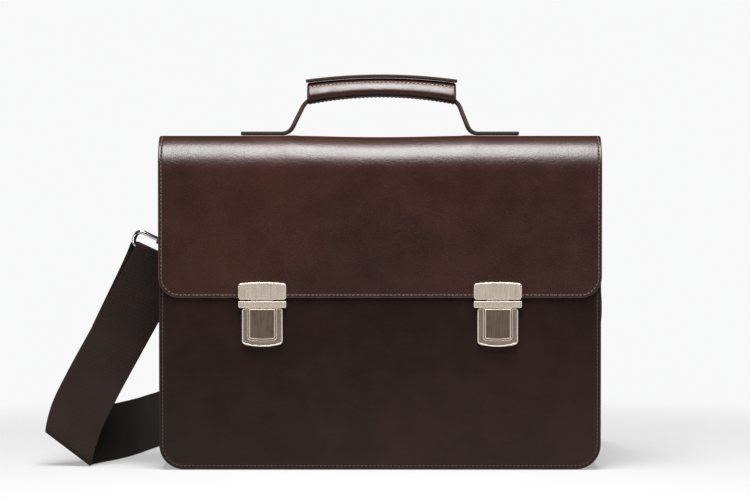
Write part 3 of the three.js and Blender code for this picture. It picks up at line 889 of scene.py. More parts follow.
@dataclass
class Case:
    """The leather case: front panel, back with flap, and gusset."""

    corner: float = 22.5 * MM
    flap_corner: float = 19 * MM
    bend: float = 30 * MM
    dip: float = 1.3 * MM
    feet: float = 82.5 * MM
    locks: float = 105.6 * MM
    uneven: tuple[tuple[float, float], ...] = ((0.32 * MM, 62 * MM), (0.1 * MM, 21 * MM))
    gusset_wall: float = 2 * MM
    gusset_seam: float = 7 * MM
    gusset_bend: float = 2.5 * MM
    gusset_strip: float = 14 * MM
    gusset_sole: float = 38 * MM
    folds_between: tuple[float, float] = (26 * MM, 165 * MM)

    def front_panel(self) -> None:
        """The front panel: a flat sheet whose seam runs down both sides and along the bottom."""
        z = np.linspace(0, PANEL_TOP, 3)
        line = np.stack([0 * z, 0 * z + FRONT + LEATHER_WALL / 2, z], -1)
        ribbon = Ribbon(line, np.array([1.0, 0, 0]))

        def uneven(s: Array, t: Array, inset: Array) -> Array:
            """The leather's unevenness, kept out from under the flap."""
            return self.swell(s, t, inset, 3) * ease(PANEL_TOP - t, 0.1, 0.13)

        def below_top(places: Array) -> Array:
            """Whether a stitch lies below the open top edge."""
            return places[:, 1] < PANEL_TOP - 4 * MM

        sheet = Sheet(ribbon, HALF, LEATHER_WALL, (self.corner, 2 * MM), seam=3.2 * MM, relief=uneven)
        sheet.shape().put("front_panel_leather", SHADED_PANEL_LEATHER, stands_for=("front_panel",))
        sheet.seamed(keep=below_top).put("front_panel_stitches", DARK_THREAD)

    def swell(self, s: Array, t: Array, inset: Array, seed: int) -> Array:
        """Soft unevenness of the leather: two sizes of noise, faded out at the edges and at the locks.

        Args:
            s: distance across from the middle.
            t: distance along.
            inset: distance from the edge.
            seed: picks the noise.

        Returns:
            Heights of the coordinates' shape.
        """
        (high, wide), (low, narrow) = self.uneven
        height = high * soft_noise(s + 1, t + 1, wide, seed)
        height = height + low * soft_noise(s + 1, t + 1, narrow, seed + 1)
        clear_of_locks = ease(np.abs(np.abs(s) - self.locks), 22 * MM, 40 * MM)
        return height * ease(inset, 3 * MM, 16 * MM) * clear_of_locks

    def wrap_line(self) -> Array:
        """Middle of the back, top and flap: straight runs joined by two quarter circles.

        Returns:
            Points (n, 3), from the back's foot to the flap's edge.
        """
        radius = self.bend - LEATHER_WALL / 2
        back, front = -FRONT - LEATHER_WALL / 2, FRONT - TOUCH - LEATHER_WALL / 2
        shoulder = HEIGHT - self.bend
        turn = np.linspace(0, math.pi / 2, 40)
        reach, climb = radius * np.cos(turn), shoulder + radius * np.sin(turn)
        over = np.stack([back - radius + reach, climb], -1)
        down = np.stack([front + radius - reach, climb], -1)[::-1]
        route = np.vstack([[[back, 0]], over, down, [[front, FLAP_EDGE]]])
        return np.column_stack([np.zeros(len(route)), route])

    def back_and_flap(self) -> None:
        """One sheet up the back, over the top and down the front, sagging between the handle's feet."""
        line = self.wrap_line()
        ribbon = Ribbon(line, np.array([1.0, 0, 0]), flip=True)
        half = (HALF + FLAP_HALF) / 2
        middle = float(np.interp(0, -line[:, 1], ribbon.away))

        def sag(s: Array, t: Array) -> Array:
            """A hollow between the feet, deepest on the ridge, with a low swell under each foot.

            Args:
                s: distance across from the middle.
                t: distance along.

            Returns:
                Heights of the coordinates' shape.
            """
            height = np.interp(t, ribbon.away, line[:, 2])
            top = np.clip((height - HEIGHT + self.bend) / self.bend, 0, 1)
            between = np.clip(1 - (s / self.feet) ** 2, 0, None) ** 2
            lifted = 0.5 * MM * np.exp(-(((np.abs(s) - self.feet + 2 * MM) / (5 * MM)) ** 2))
            return (lifted - self.dip * between) * top * ease(np.abs(t - middle), 0.09, 0.04)

        def uneven(s: Array, t: Array, inset: Array) -> Array:
            """The leather's unevenness, kept off the ridge where the handle stands."""
            return self.swell(s, t, inset, 11) * ease(np.abs(t - middle), 0.03, 0.06)

        corners = (self.corner, self.flap_corner)
        sheet = Sheet(ribbon, half, LEATHER_WALL, corners, bend=sag, relief=uneven)
        sheet.shape().put("wrap_leather", LEATHER, stands_for=("back_and_flap",))
        sheet.seamed().put("wrap_stitches", THREAD)

    def gusset(self) -> None:
        """Wall round the sides and bottom: turned-out seam edges, and sides that fold inwards.

        Its section, from seam to seam, is a polyline through thirteen knots, smoothed by a running mean with
        the weights 1, 2, 3, 2, 1, and carried along the case's outline.
        """
        wall, seam, bend = self.gusset_wall, self.gusset_seam, self.gusset_bend
        strip, sole = self.gusset_strip, self.gusset_sole
        edge = -FRONT - LEATHER_WALL - TOUCH - wall / 2
        turn = np.linspace(0, math.pi / 2, 14)
        centre = HALF - self.corner
        down = np.linspace(PANEL_TOP, self.corner, 66)[:-1]
        left = np.vstack([
            np.column_stack([0 * down - HALF, down, 0 * down + 1, 0 * down]),
            np.column_stack([
                -centre - self.corner * np.cos(turn), self.corner * (1 - np.sin(turn)),
                np.cos(turn), np.sin(turn)]),
        ])
        floor = np.linspace(-centre, centre, 60)[1:-1]
        under = np.column_stack([floor, 0 * floor, 0 * floor, 0 * floor + 1])
        right = left[::-1] * [-1, 1, -1, 1]
        x, z, way_x, way_z = np.vstack([left, under, right]).T
        fold = ease(z, *self.folds_between)
        half, depth = sole + (strip - sole) * fold, wall / 2 + RECESS * fold
        nothing = np.zeros_like(x)
        slope = bend * (1 - math.sqrt(0.5))
        y = [*(nothing + edge - back for back in (0, 0, slope, bend)), half, half - 3 * MM]
        inset = [nothing, *(nothing + seam - short for short in (bend, slope, 0)), depth, depth]
        y = np.stack([*y, nothing, *(-part for part in y[::-1])], 1)
        inset = np.stack([*inset, depth, *inset[::-1]], 1)
        section = np.stack([y, inset], -1)
        knots, fine = np.linspace(0, 1, section.shape[1]), np.linspace(0, 1, 97)
        curved = np.stack([[np.interp(fine, knots, row[:, k]) for row in section] for k in (0, 1)], -1)
        padded = np.concatenate([curved[:, :1]] * 2 + [curved] + [curved[:, -1:]] * 2, 1)
        curved = sum(weight / 9 * padded[:, k:k + 97] for k, weight in enumerate((1, 2, 3, 2, 1)))
        place, way = np.stack([x, z], -1)[:, None], np.stack([way_x, way_z], -1)[:, None]
        outline = place + way * curved[..., 1:]
        points = np.stack([outline[..., 0], curved[..., 0], outline[..., 1]], -1)
        facing = unit(np.cross(np.gradient(points, axis=0), np.gradient(points, axis=1)))
        rim = np.zeros(points.shape[:2])
        rim[0] = rim[-1] = rim[:, 0] = rim[:, -1] = 1.0
        made = walled(points + facing * wall / 2, points - facing * wall / 2, {"rim": rim, "groove": 0 * rim})
        made.put("gusset_leather", SHADED_PANEL_LEATHER, stands_for=("gusset",))


@dataclass
class Handle:
    """The carrying handle: a strap with two feet and two risers, a padded grip and a top strip."""

    wall: float = 3.6 * MM
    width: float = 28 * MM
    narrow: float = 18 * MM
    foot: float = 44 * MM
    inner: float = 82.5 * MM
    grip: float = 69 * MM
    shift: float = 1.5 * MM
    bend: float = 7 * MM
    rise: float = 7 * MM
    base: float = 28.3 * MM
    skin: float = 2 * MM
    grip_width: float = 25 * MM
    heights: tuple[float, float] = (19.6 * MM, 17.3 * MM)
    widest: float = 0.35
    overhang: float = 1.2 * MM
    strip: float = 3 * MM
    strip_width: float = 13 * MM

    def arch(self, x: Array) -> Array:
        """Rise of the grip's arch: a parabola, highest at its middle."""
        return self.rise * (1 - ((x - self.shift) / self.grip) ** 2)

    def under(self, x: Array) -> Array:
        """Height of the strap's middle inside the grip."""
        return HEIGHT + self.base + self.skin + self.arch(x) + self.wall / 2

    def bowed(self, a: Array, b: Array, c: Array) -> Array:
        """Quadratic curve from a to c that leaves a and reaches c towards b."""
        t = np.linspace(0, 1, 12)[:, None]
        return a * (1 - t) ** 2 + 2 * b * t * (1 - t) + c * t**2

    def half_route(self, sign: int) -> Array:
        """Foot, knee, riser and shoulder on one side.

        Args:
            sign: -1 for the left side, 1 for the right.

        Returns:
            Points (n, 2) in x and z, from the foot's end to the grip.
        """
        ground, end = HEIGHT + TOUCH + self.wall / 2, self.shift + sign * self.grip
        top, toe = np.array([end, float(self.under(end))]), np.array([sign * self.inner, ground])
        climb = unit(top - toe)
        knee = self.bowed(toe + [sign * self.bend, 0], toe, toe + climb * self.bend)
        inside = end - sign * self.bend
        hidden = np.array([inside, float(self.under(inside))])
        shoulder = self.bowed(top - climb * self.bend, top, hidden)
        return np.vstack([[[sign * (self.inner + self.foot), ground]], knee, shoulder])

    def strap(self) -> None:
        """The strap, from one foot's end through the grip to the other's, narrower up its risers."""
        half = self.grip - self.bend
        x = np.linspace(self.shift - half, self.shift + half, 30)[1:-1]
        through = np.column_stack([x, self.under(x)])
        flat = np.vstack([self.half_route(-1), through, self.half_route(1)[::-1]])
        line = np.column_stack([flat[:, 0], np.zeros(len(flat)), flat[:, 1]])
        ribbon = Ribbon(line, np.array([0, 1.0, 0]))
        sheet = Sheet(ribbon, self.width / 2, self.wall, (3.5 * MM, 3.5 * MM), step=1.5 * MM,
                      seam=2.6 * MM, groove=0.25 * MM, fine=SMALL_LINES)
        shape = sheet.shape()
        climbed = ease(shape.points[:, 2], HEIGHT + 2 * self.wall, HEIGHT + self.base + self.skin)
        shape.points[:, 1] *= 1 + (self.narrow / self.width - 1) * climbed
        shape.put("handle_strap_leather", HANDLE_LEATHER, stands_for=("handle_strap",))

        def on_feet(places: Array) -> Array:
            """Whether a stitch lies on one of the feet."""
            return np.minimum(places[:, 1], ribbon.length - places[:, 1]) < self.foot - 4 * MM

        sheet.seamed(keep=on_feet, faces=(1,)).put("handle_foot_stitches", THREAD)

    def grip_faces(self, x: Array) -> tuple[Array, Array]:
        """Lower and upper height of the padded grip.

        Args:
            x: places along it.

        Returns:
            Both heights at each place.
        """
        low = self.under(x) - self.wall / 2 - self.skin
        at_ends, at_middle = self.heights
        thick = at_ends + (at_middle - at_ends) * self.arch(x) / self.rise
        return low, low + thick

    def grip_section(self, x: Array, turn: Array) -> Array:
        """Points of the grip: a drop that is widest at a third of its height.

        Above that it is |cos|^1.3 by |sin|^1.3, below it |cos|^0.65 by |sin|^0.75, and it is drawn in
        over its last millimetres.

        Args:
            x: places along the grip, (n, 1).
            turn: angles round it, (1, m).

        Returns:
            Points (n, m, 3).
        """
        low, high = self.grip_faces(x)
        half = self.grip - self.overhang
        ends = np.clip(1 - np.abs(x - self.shift) / half, 0, 1) * half
        drawn = 1.8 * MM * (1 - np.sqrt(1 - (1 - np.clip(ends / (2.4 * MM), 0, 1)) ** 2))
        upper = np.sin(turn) >= 0
        wide = np.sign(np.cos(turn)) * np.abs(np.cos(turn)) ** np.where(upper, 1.3, 0.65)
        tall = np.where(upper, np.abs(np.sin(turn)) ** 1.3, -np.abs(np.sin(turn)) ** 0.75)
        middle = low + self.widest * (high - low)
        puff = 0.25 * MM * soft_noise(x + 1 + 0 * turn, turn * 5 * MM + 1 + 0 * x, 9 * MM, 5)
        y = wide * (self.grip_width / 2 - drawn)
        z = middle + tall * (np.where(upper, high - middle, middle - low) - drawn)
        out = puff * ease(ends, 2 * MM, 8 * MM) * np.abs(np.cos(turn))
        return np.stack([x + 0 * turn, y + np.sign(y) * out, z], -1)

    def pad(self) -> None:
        """The padded grip, with a row of stitches along the top and bottom of its front and back."""
        half = self.grip - self.overhang
        ends = half - np.array([0, 0.3, 0.8, 1.4, 2.2, 3.4, 5]) * MM
        x = np.concatenate([-ends, np.linspace(-ends[-1], ends[-1], 60)[1:-1], ends[::-1]]) + self.shift
        turn = np.linspace(0, math.tau, 72, endpoint=False)
        rings = self.grip_section(x[:, None], turn[None, :])
        shape = stacked(rings)
        shape.marks = {"rim": np.zeros(len(shape.points)), "groove": np.zeros(len(shape.points))}
        grip = shape.put("handle_grip_leather", LEATHER, stands_for=("handle_grip",))
        run = np.linspace(-half + 3 * MM, half - 3 * MM, 200)[:, None] + self.shift
        sewn = (("upper", 0.265, 1.1, STITCH, PALE_THREAD), ("lower", -0.42, -3.0, KNOT, THREAD))
        for name, angle, slope, thread, colour in sewn:
            rows = []
            for sign in (-1, 1):
                turn = (angle if sign > 0 else 1 - angle) * math.pi
                line = gathered(self.grip_section(run, np.array([[turn]]))[:, 0], thread.pitch)
                facing = np.broadcast_to(unit(np.array([0, sign, slope])), line.shape)
                rows.append(thread.sewn(line, facing))
            rows[0].plus(rows[1]).put(f"handle_grip_{name}_stitches", colour)

    def top_strip(self) -> None:
        """The flat strip along the grip's top."""
        x = np.linspace(-self.grip, self.grip, 60) + self.shift
        line = np.column_stack([x, 0 * x, self.grip_faces(x)[1] + TOUCH + self.strip / 2])
        ribbon = Ribbon(line, np.array([0, 1.0, 0]))
        sheet = Sheet(ribbon, self.strip_width / 2, self.strip, (3 * MM, 3 * MM), step=2.2 * MM,
                      rim=0.8 * MM, seam=2.3 * MM, groove=0.25 * MM, fine=SMALL_LINES)
        sheet.shape().put("handle_top_leather", HANDLE_LEATHER, stands_for=("handle_top_strip",))
        sheet.seamed(faces=(1,)).put("handle_top_stitches", THREAD)


def plate_loop(width: float, height: float, corner: float, bulge: float = 0.0,
               up: bool = False) -> Array:
    """Rounded rectangle in x and z whose lower or upper edge bulges as a parabola.

    Args:
        width: full width.
        height: full height without the bulge.
        corner: radius of the corners.
        bulge: rise of the bulge at its middle.
        up: whether the upper edge bulges, and not the lower.

    Returns:
        Points (n, 2), the same number whatever the sizes.
    """
    turn = np.linspace(0, math.pi / 2, 7)
    runs = []
    signs = np.array([(1, 1), (-1, 1), (-1, -1), (1, -1)])
    middles = signs * (np.array([width, height]) / 2 - corner)
    for quarter, (middle, after) in enumerate(zip(middles, np.roll(middles, -1, 0))):
        angle = turn + quarter * math.pi / 2
        arc = corner * np.stack([np.cos(angle), np.sin(angle)], -1)
        start, stop = middle + arc[-1], after + arc[-1]
        runs += [middle + arc, start + (stop - start) * np.linspace(0, 1, 10)[1:-1, None]]
    loop = np.vstack(runs)
    side = loop[:, 1] if up else -loop[:, 1]
    lift = bulge * (1 - (2 * loop[:, 0] / width) ** 2) * np.clip(2 * side / height, 0, 1)
    loop[:, 1] += lift if up else -lift
    return loop


# Which loops of a plain plate form its rounded edge.
BEVEL = slice(3, 7)


@dataclass
class Lock:
    """One push lock: cap on the flap's edge, slotted bar, framed plate and sprung button."""

    side: Side
    centre: float = 105.6 * MM
    width: float = 42.8 * MM
    bevel: float = 0.8 * MM
    cap_height: float = 14.2 * MM
    cap_thick: float = 4.5 * MM
    cap_bulge: float = 1.4 * MM
    bar_height: float = 6.1 * MM
    bar_thick: float = 7.2 * MM
    plate_size: tuple[float, float, float] = (36.2 * MM, 32 * MM, 5.6 * MM)
    plate_bulge: float = 2.8 * MM
    rim: float = 1.2 * MM
    field_depth: float = 0.9 * MM
    ridge: float = 1.65 * MM
    button_size: tuple[float, float, float] = (23.5 * MM, 27 * MM, 4 * MM)
    button_bulge: float = 0.9 * MM
    proud: float = 1.2 * MM
    travel: float = 1.5 * MM
    slide: float = 0.35 * MM
    cap_below: float = 1.3 * MM
    slot_gap: float = 1.3 * MM
    button_gap: float = 0.7 * MM

    def raised(self, steps: list[tuple[float, float]], z: float, **loop: float) -> Array:
        """Loops of a plate.

        Args:
            steps: for each loop, how far it lies inside the outline and its y.
            z: height of the plate's middle.
            loop: sizes of the outline.

        Returns:
            Loops (n, m, 3).
        """
        rings = []
        for inset, y in steps:
            size = {**loop, "width": loop["width"] - 2 * inset, "height": loop["height"] - 2 * inset,
                    "corner": max(loop["corner"] - inset, 0.25 * MM)}
            flat = plate_loop(**size)
            x = flat[:, 0] + self.side.value * self.centre
            rings.append(np.stack([x, np.full(len(flat), y), flat[:, 1] + z], -1))
        return np.stack(rings)

    def rounded(self, bevel: float, face: float) -> list[tuple[float, float]]:
        """Steps of a quarter circle that ends in a flat face.

        Args:
            bevel: its radius.
            face: y of the flat face.

        Returns:
            For each loop, how far it lies inside the outline and its y.
        """
        turn = np.linspace(0, math.pi / 2, 6)
        arc = [(bevel * (1 - math.cos(a)), face + bevel * (1 - math.sin(a))) for a in turn]
        return arc + [(bevel + 0.25 * MM, face)]

    def plain(self, back: float, thick: float, bevel: float) -> list[tuple[float, float]]:
        """Steps of a plain plate with a rounded front edge."""
        return [(0.15 * MM, back), (0, back - 0.15 * MM)] + self.rounded(bevel, back - thick)

    def build(self) -> None:
        """Makes the lock's four pieces."""
        cap_bottom = FLAP_EDGE - self.cap_below
        bar_top = cap_bottom - self.slot_gap
        self.cap(cap_bottom)
        self.bar(bar_top)
        self.plate(bar_top - self.bar_height)
        self.button(bar_top - self.bar_height)

    def cap(self, bottom: float) -> None:
        """The cap on the flap's edge, and the tongue that reaches down behind it.

        Args:
            bottom: height of the cap's lower edge.
        """
        word, back = self.side.word, FRONT - 2 * TOUCH - LEATHER_WALL
        steps = self.plain(back, self.cap_thick, self.bevel)
        outline = {"width": self.width, "height": self.cap_height, "corner": 2.6 * MM}
        middle = bottom + self.cap_height / 2
        cap = stacked(self.raised(steps, middle, **outline, bulge=self.cap_bulge, up=True), edge=BEVEL)
        steps = self.plain(back + 1 * MM, 1.6 * MM, 0.2 * MM)
        outline = {"width": 20 * MM, "height": 4.4 * MM, "corner": 0.5 * MM}
        tongue = stacked(self.raised(steps, bottom + 1 * MM, **outline))
        cap.plus(tongue).put(f"lock_cap_{word}_metal", NICKEL, stands_for=(f"lock_cap_{word}",))

    def bar(self, top: float) -> None:
        """The bar under the cap, on the front panel.

        Args:
            top: height of its upper edge.
        """
        word = self.side.word
        steps = self.plain(FRONT - TOUCH, self.bar_thick, self.bevel)
        outline = {"width": self.width, "height": self.bar_height, "corner": 1.2 * MM}
        bar = stacked(self.raised(steps, top - self.bar_height / 2, **outline), edge=BEVEL)
        bar.put(f"lock_bar_{word}_metal", NICKEL, stands_for=(f"lock_bar_{word}",))

    def plate(self, top: float) -> None:
        """The plate: a raised rim, a sunk field, a ridge round the button and the button's pocket.

        Args:
            top: height of its upper edge.
        """
        word = self.side.word
        width, height, thick = self.plate_size
        back, face = FRONT - TOUCH, FRONT - TOUCH - thick
        middle = top - TOUCH - height / 2
        outer = {"width": width, "height": height, "corner": 2.6 * MM, "bulge": self.plate_bulge}
        edge, rim, field_y = self.plain(back, thick, self.bevel)[:-1], self.rim, face + self.field_depth
        lip = [(rim - 0.3 * MM, face), (rim - 0.1 * MM, face + 0.1 * MM), (rim, face + 0.3 * MM),
               (rim + 0.05 * MM, field_y - 0.1 * MM), (rim + 0.2 * MM, field_y), (rim + 0.5 * MM, field_y)]
        w, h, button_thick = self.button_size
        inner = {"width": w + 2 * self.slide, "height": h + 2 * self.slide, "corner": 1.6 * MM,
                 "bulge": self.button_bulge}
        floor = face + button_thick - self.proud + self.travel + self.slide
        arc = np.linspace(0, math.pi, 9)
        half = self.ridge / 2
        crown = [(-half - half * math.cos(a), face + self.field_depth * (1 - math.sin(a))) for a in arc]
        frame = [(-self.ridge - 0.3 * MM, field_y), *crown, (0, face + 1.1 * MM), (0, floor)]
        rings = np.concatenate([
            self.raised(edge + lip, middle, **outer),
            self.raised(frame, top - self.button_gap - h / 2, **inner),
        ])
        plate = stacked(rings, edge=BEVEL)
        first, count = len(edge) + 3, rings.shape[1]
        # the sunk field and the pocket's floor are marked for painted shade in the metal's finish
        sunk = np.zeros(rings.shape[0])
        sunk[first:first + 8] = 0.6
        sunk[-4:] = 1.0
        plate.marks["sunk"] = np.repeat(sunk, count)
        plate.put(f"lock_plate_{word}_metal", NICKEL, stands_for=(f"lock_plate_{word}",))

    def button(self, top: float) -> None:
        """The button, which slides into the plate.

        Args:
            top: height of the plate's upper edge.
        """
        word = self.side.word
        w, h, thick = self.button_size
        back = FRONT - TOUCH - self.plate_size[2] + thick - self.proud
        outline = {"width": w, "height": h, "corner": 1.6 * MM, "bulge": self.button_bulge}
        steps = self.plain(back, thick, 1.1 * MM)
        made = stacked(self.raised(steps, top - self.button_gap - h / 2, **outline), edge=BEVEL)
        name = f"lock_button_{word}"
        made.put(f"{name}_metal", BUTTON_NICKEL, body=f"button_{word}", stands_for=(name,))


@dataclass
class Ring:
    """One shoulder ring of wire, a rounded rectangle, and the tab that holds it to the gusset."""

    side: Side
    off: float
    lean: float
    towards: float
    wire: float = 4 * MM
    inside: float = 55.6 * MM
    gap: float = 9.5 * MM
    corner: float = 5.6 * MM
    height: float = 195.3 * MM
    tab_width: float = 20 * MM
    tab_wall: float = 2 * MM
    tab_top: float = 255 * MM
    tab_sewn: float = 26 * MM

    def __post_init__(self) -> None:
        """Works out the way its long bars run, the way up across them and the way out."""
        plan, lean = math.radians(self.towards), math.radians(self.lean)
        level = np.array([math.cos(plan), math.sin(plan), 0])
        self.bar = level * math.cos(lean) + [0, 0, math.sin(lean)]
        self.up = -level * math.sin(lean) + [0, 0, math.cos(lean)]
        self.centre = np.array([self.side.value * (HALF - RECESS + self.off), 0, self.height])
        self.out = np.cross(self.bar, self.up) * self.side.value
        self.reach = (self.gap + self.wire) / 2

    def ring(self) -> None:
        """The wire: a circle carried round the rounded rectangle."""
        long_side = (self.inside + self.wire) / 2 - self.corner
        tall = self.reach - self.corner
        turn = np.linspace(0, math.pi / 2, 10)
        rows = []
        for quarter, (a, b) in enumerate([(1, 1), (-1, 1), (-1, -1), (1, -1)]):
            angle = (turn + quarter * math.pi / 2)[:, None]
            way = self.bar * np.cos(angle) + self.up * np.sin(angle)
            corner = self.centre + self.bar * a * long_side + self.up * b * tall
            rows.append((corner + way * self.corner, way))
        middle, way = (np.vstack(part) for part in zip(*rows))
        turn = np.linspace(0, math.tau, 20, endpoint=False)[None, :, None]
        around = way[:, None] * np.cos(turn) + self.out * np.sin(turn)
        rings = middle[:, None] + self.wire / 2 * around
        word = self.side.word
        stacked(rings, ring=True).put(f"ring_{word}_wire", WIRE, stands_for=(f"ring_{word}",))

    def tab(self) -> None:
        """The tab: one strip down the gusset, round the ring's upper bar and back up behind itself.

        Its free run is a cubic Bezier curve from the ring's neck to the place where it is sewn down.
        """
        word, wall = self.side.word, self.tab_wall
        eye = self.centre + self.up * self.reach
        inner = self.wire / 2 + TOUCH
        seat = self.side.value * (HALF - RECESS + TOUCH + wall)
        sewn = np.array([seat, 0, self.tab_top - self.tab_sewn])
        neck = eye + self.up * (inner + wall)
        t = np.linspace(0, 1, 24)[:, None]
        a, b, c, d = neck, neck + self.up * self.tab_width / 2, sewn - [0, 0, 12 * MM], sewn
        hang = a * (1 - t) ** 3 + 3 * b * t * (1 - t) ** 2 + 3 * c * t**2 * (1 - t) + d * t**3
        middle = np.vstack([hang, [[seat, 0, self.tab_top]]])
        turned = ease(np.arange(len(middle)) / (len(middle) - 2), 0.05, 0.95)[:, None]
        across = unit(self.bar * (1 - turned) + np.array([0, 1.0, 0]) * turned)
        ahead = np.gradient(middle, axis=0)
        facing = unit(np.cross(across, ahead))
        if (facing[0] * self.out).sum() < 0:
            facing = -facing
        closes = 1 - ease(np.linalg.norm(middle - neck, axis=1), 0, 9 * MM)[:, None]
        apart = wall / 2 + 0.315 * inner * closes
        turn = np.linspace(0.22, math.tau - 0.22, 30)[:, None]
        loop = eye + (self.up * np.cos(turn) - self.out * np.sin(turn)) * (inner + wall / 2)
        near, far = middle + facing * apart, middle - facing * apart
        line = np.vstack([far[::-1], loop, near])
        sides = np.vstack([across[::-1], np.broadcast_to(self.bar, loop.shape), across])
        ribbon = Ribbon(line, sides)
        sheet = Sheet(ribbon, self.tab_width / 2, wall * 0.95, (3 * MM, 3 * MM), step=1.2 * MM,
                      rim=0.6 * MM, seam=2.3 * MM, groove=0.2 * MM, fine=SMALL_LINES)
        sheet.shape().put(f"ring_tab_{word}_leather", HANDLE_LEATHER, stands_for=(f"ring_tab_{word}",))


@dataclass
class ShoulderStrap:
    """The webbing strap: folded round each ring, its ends sewn back, on its edge behind the case."""

    left: Ring
    right: Ring
    width: float = 51.5 * MM
    thick: float = 1.8 * MM
    tail: float = 88 * MM
    closes: float = 0.8
    slip: float = 5.5 * MM
    hang: float = 12 * MM
    clear: float = 3.6 * MM
    # Share of the half width, share of the depth, height by the rings' (0 stands on the floor), lean
    # from upright in degrees, and the lean's direction.
    route: tuple[tuple[float, ...], ...] = (
        (-1.198, -0.05, 0.604, 65, 180), (-1.328, -0.11, 0.359, 64.5, 180),
        (-1.392, -0.16, 0.219, 61, 180), (-1.427, -0.2, 0, 53, 178), (-1.41, -0.1, 0, 46, 176),
        (-1.335, 0.12, 0, 27, 176), (-1.245, 0.4, 0, 13, 175), (-1.16, 0.9, 0, 8, 180),
        (-1.09, 1.55, 0, 8, 180), (-1.0, 2.2, 0, 8, 150), (-0.72, 2.72, 0, 6, 120),
        (-0.3, 2.98, 0, 5, 90), (0.15, 3.02, 0, 5, 90), (0.58, 2.82, 0, 5, 60), (0.88, 2.4, 0, 6, 45),
    )
    climb: tuple[tuple[float, ...], ...] = (
        (1.008, 1.78, 0.198, 15, 92), (1.012, 1.08, 0.358, 30, 90), (1.0, 0.475, 0.618, 45, 78),
    )

    @property
    def fold(self) -> float:
        """Radius of the webbing's middle round a ring's bar."""
        return self.left.wire / 2 + TOUCH + self.thick / 2

    def rows(self, table: tuple[tuple[float, ...], ...], unit_x: float) -> tuple[Array, Array]:
        """Places of the middle line and the way across it.

        Args:
            table: rows of shares, as in route.
            unit_x: length that the first column is a share of.

        Returns:
            Places (n, 3) and ways (n, 3).
        """
        x, y, high, lean, towards = np.array(table, float).T
        lean, towards = np.radians(lean), np.radians(towards)
        level = np.stack([np.cos(towards), np.sin(towards)])
        way = np.stack([*(np.sin(lean) * level), np.cos(lean)], -1)
        z = np.where(high > 0, high * self.left.height, self.width / 2 * np.cos(lean))
        return np.stack([x * unit_x, y * DEPTH, z], -1), way

    def below(self, ring: Ring, drop: float) -> Array:
        """A place on the run, some way below a ring's lower bar."""
        return ring.centre - ring.up * (ring.reach + drop) + ring.out * self.fold

    def folded(self, ring: Ring) -> Array:
        """Half a circle round a ring's lower bar, from its inner to its outer side.

        Args:
            ring: the ring.

        Returns:
            Points (n, 3), slid along the bar at the inner side.
        """
        turn = np.linspace(0, math.pi, 20, endpoint=False)[:, None]
        slid = self.slip * (1 - ease(turn, 0, math.pi * 0.45))
        axis = ring.centre - ring.up * ring.reach + ring.bar * slid
        return axis + ring.up * self.fold * np.sin(turn) - ring.out * self.fold * np.cos(turn)

    def line(self) -> tuple[Array, Array]:
        """The whole strap: its sewn-back tails, its folds round the rings and the run between them.

        Returns:
            Points (n, 3) of its middle line and the ways (n, 3) across it.
        """
        places, ways = self.rows(self.route, HALF)
        climbs, leans = self.rows(self.climb, HALF + self.clear + self.thick / 2)
        left, right = self.left, self.right
        place = np.vstack([[self.below(left, 0), self.below(left, self.hang)], places, climbs,
                           [self.below(right, self.hang), self.below(right, 0)]])
        way = np.vstack([[left.bar, left.bar], ways, leans, [right.bar, right.bar]])
        run, across = curve_through(place, 14), unit(curve_through(way, 14))
        away = np.concatenate([[0], np.cumsum(np.linalg.norm(np.diff(run, axis=0), axis=1))])
        facing = unit(np.cross(np.gradient(run, axis=0), across))
        lowest = (self.width * np.abs(across[:, 2]) + self.thick * np.abs(facing[:, 2])) / 2
        run[:, 2] = np.maximum(run[:, 2], lowest)
        pieces = []
        for away_from in (away, away[-1] - away):
            kept = (away_from > 4 * MM) & (away_from < self.tail)
            share = away_from[kept, None] / self.tail
            near, far = 2 * self.fold, self.thick + TOUCH
            apart = near + (far - near) * ease(share, 0, self.closes)
            slipped = across[kept] * self.slip * (1 - share)
            pieces.append((run[kept] + facing[kept] * apart + slipped, across[kept]))
        (tail_left, way_left), (tail_right, way_right) = pieces
        fold_left, fold_right = self.folded(left), self.folded(right)
        line = np.vstack([tail_left[::-1], fold_left, run, fold_right[::-1], tail_right[::-1]])
        bar_left, bar_right = (np.tile(ring.bar, (len(fold_left), 1)) for ring in (left, right))
        return line, np.vstack([way_left[::-1], bar_left, across, bar_right, way_right[::-1]])

    def build(self) -> None:
        """The webbing as one closed strip."""
        line, sides = self.line()
        ribbon = Ribbon(line, sides)
        fine = np.array([0, 0.25, 0.6, 1, 1.6, 2.6, 4.5]) * MM
        own = np.unique(np.concatenate([ribbon.away, np.arange(0, ribbon.length, 4 * MM)]))
        own = own[np.concatenate([[True], np.diff(own) > 0.5 * MM])]
        sheet = Sheet(ribbon, self.width / 2, self.thick, (1.5 * MM, 1.5 * MM), step=3 * MM,
                      rim=0.7 * MM, groove=0.0, fine=fine, stations=own)
        sheet.shape().put("shoulder_strap_webbing", WEBBING, stands_for=("shoulder_strap",))
        LOG.info("shoulder strap: %.1f mm wide, %.1f mm long", self.width / MM, ribbon.length / MM)


@dataclass(frozen=True)
class Softbox:
    """One area light that points at a place."""

    name: str
    place: tuple[float, float, float]
    size: tuple[float, float]
    power: float
    aim: tuple[float, float, float]

    def light(self) -> None:
        """Makes the light, unseen by the camera."""
        data = bpy.data.lights.new(self.name, "AREA")
        data.shape, data.energy = "RECTANGLE", self.power
        data.size, data.size_y = self.size
        made = bpy.data.objects.new(self.name, data)
        made.location = self.place
        way = unit(np.array(self.aim) - np.array(self.place))
        made.rotation_euler = (math.acos(-way[2]), 0, math.atan2(-way[0], way[1]))
        made.visible_camera = False
        bpy.context.collection.objects.link(made)


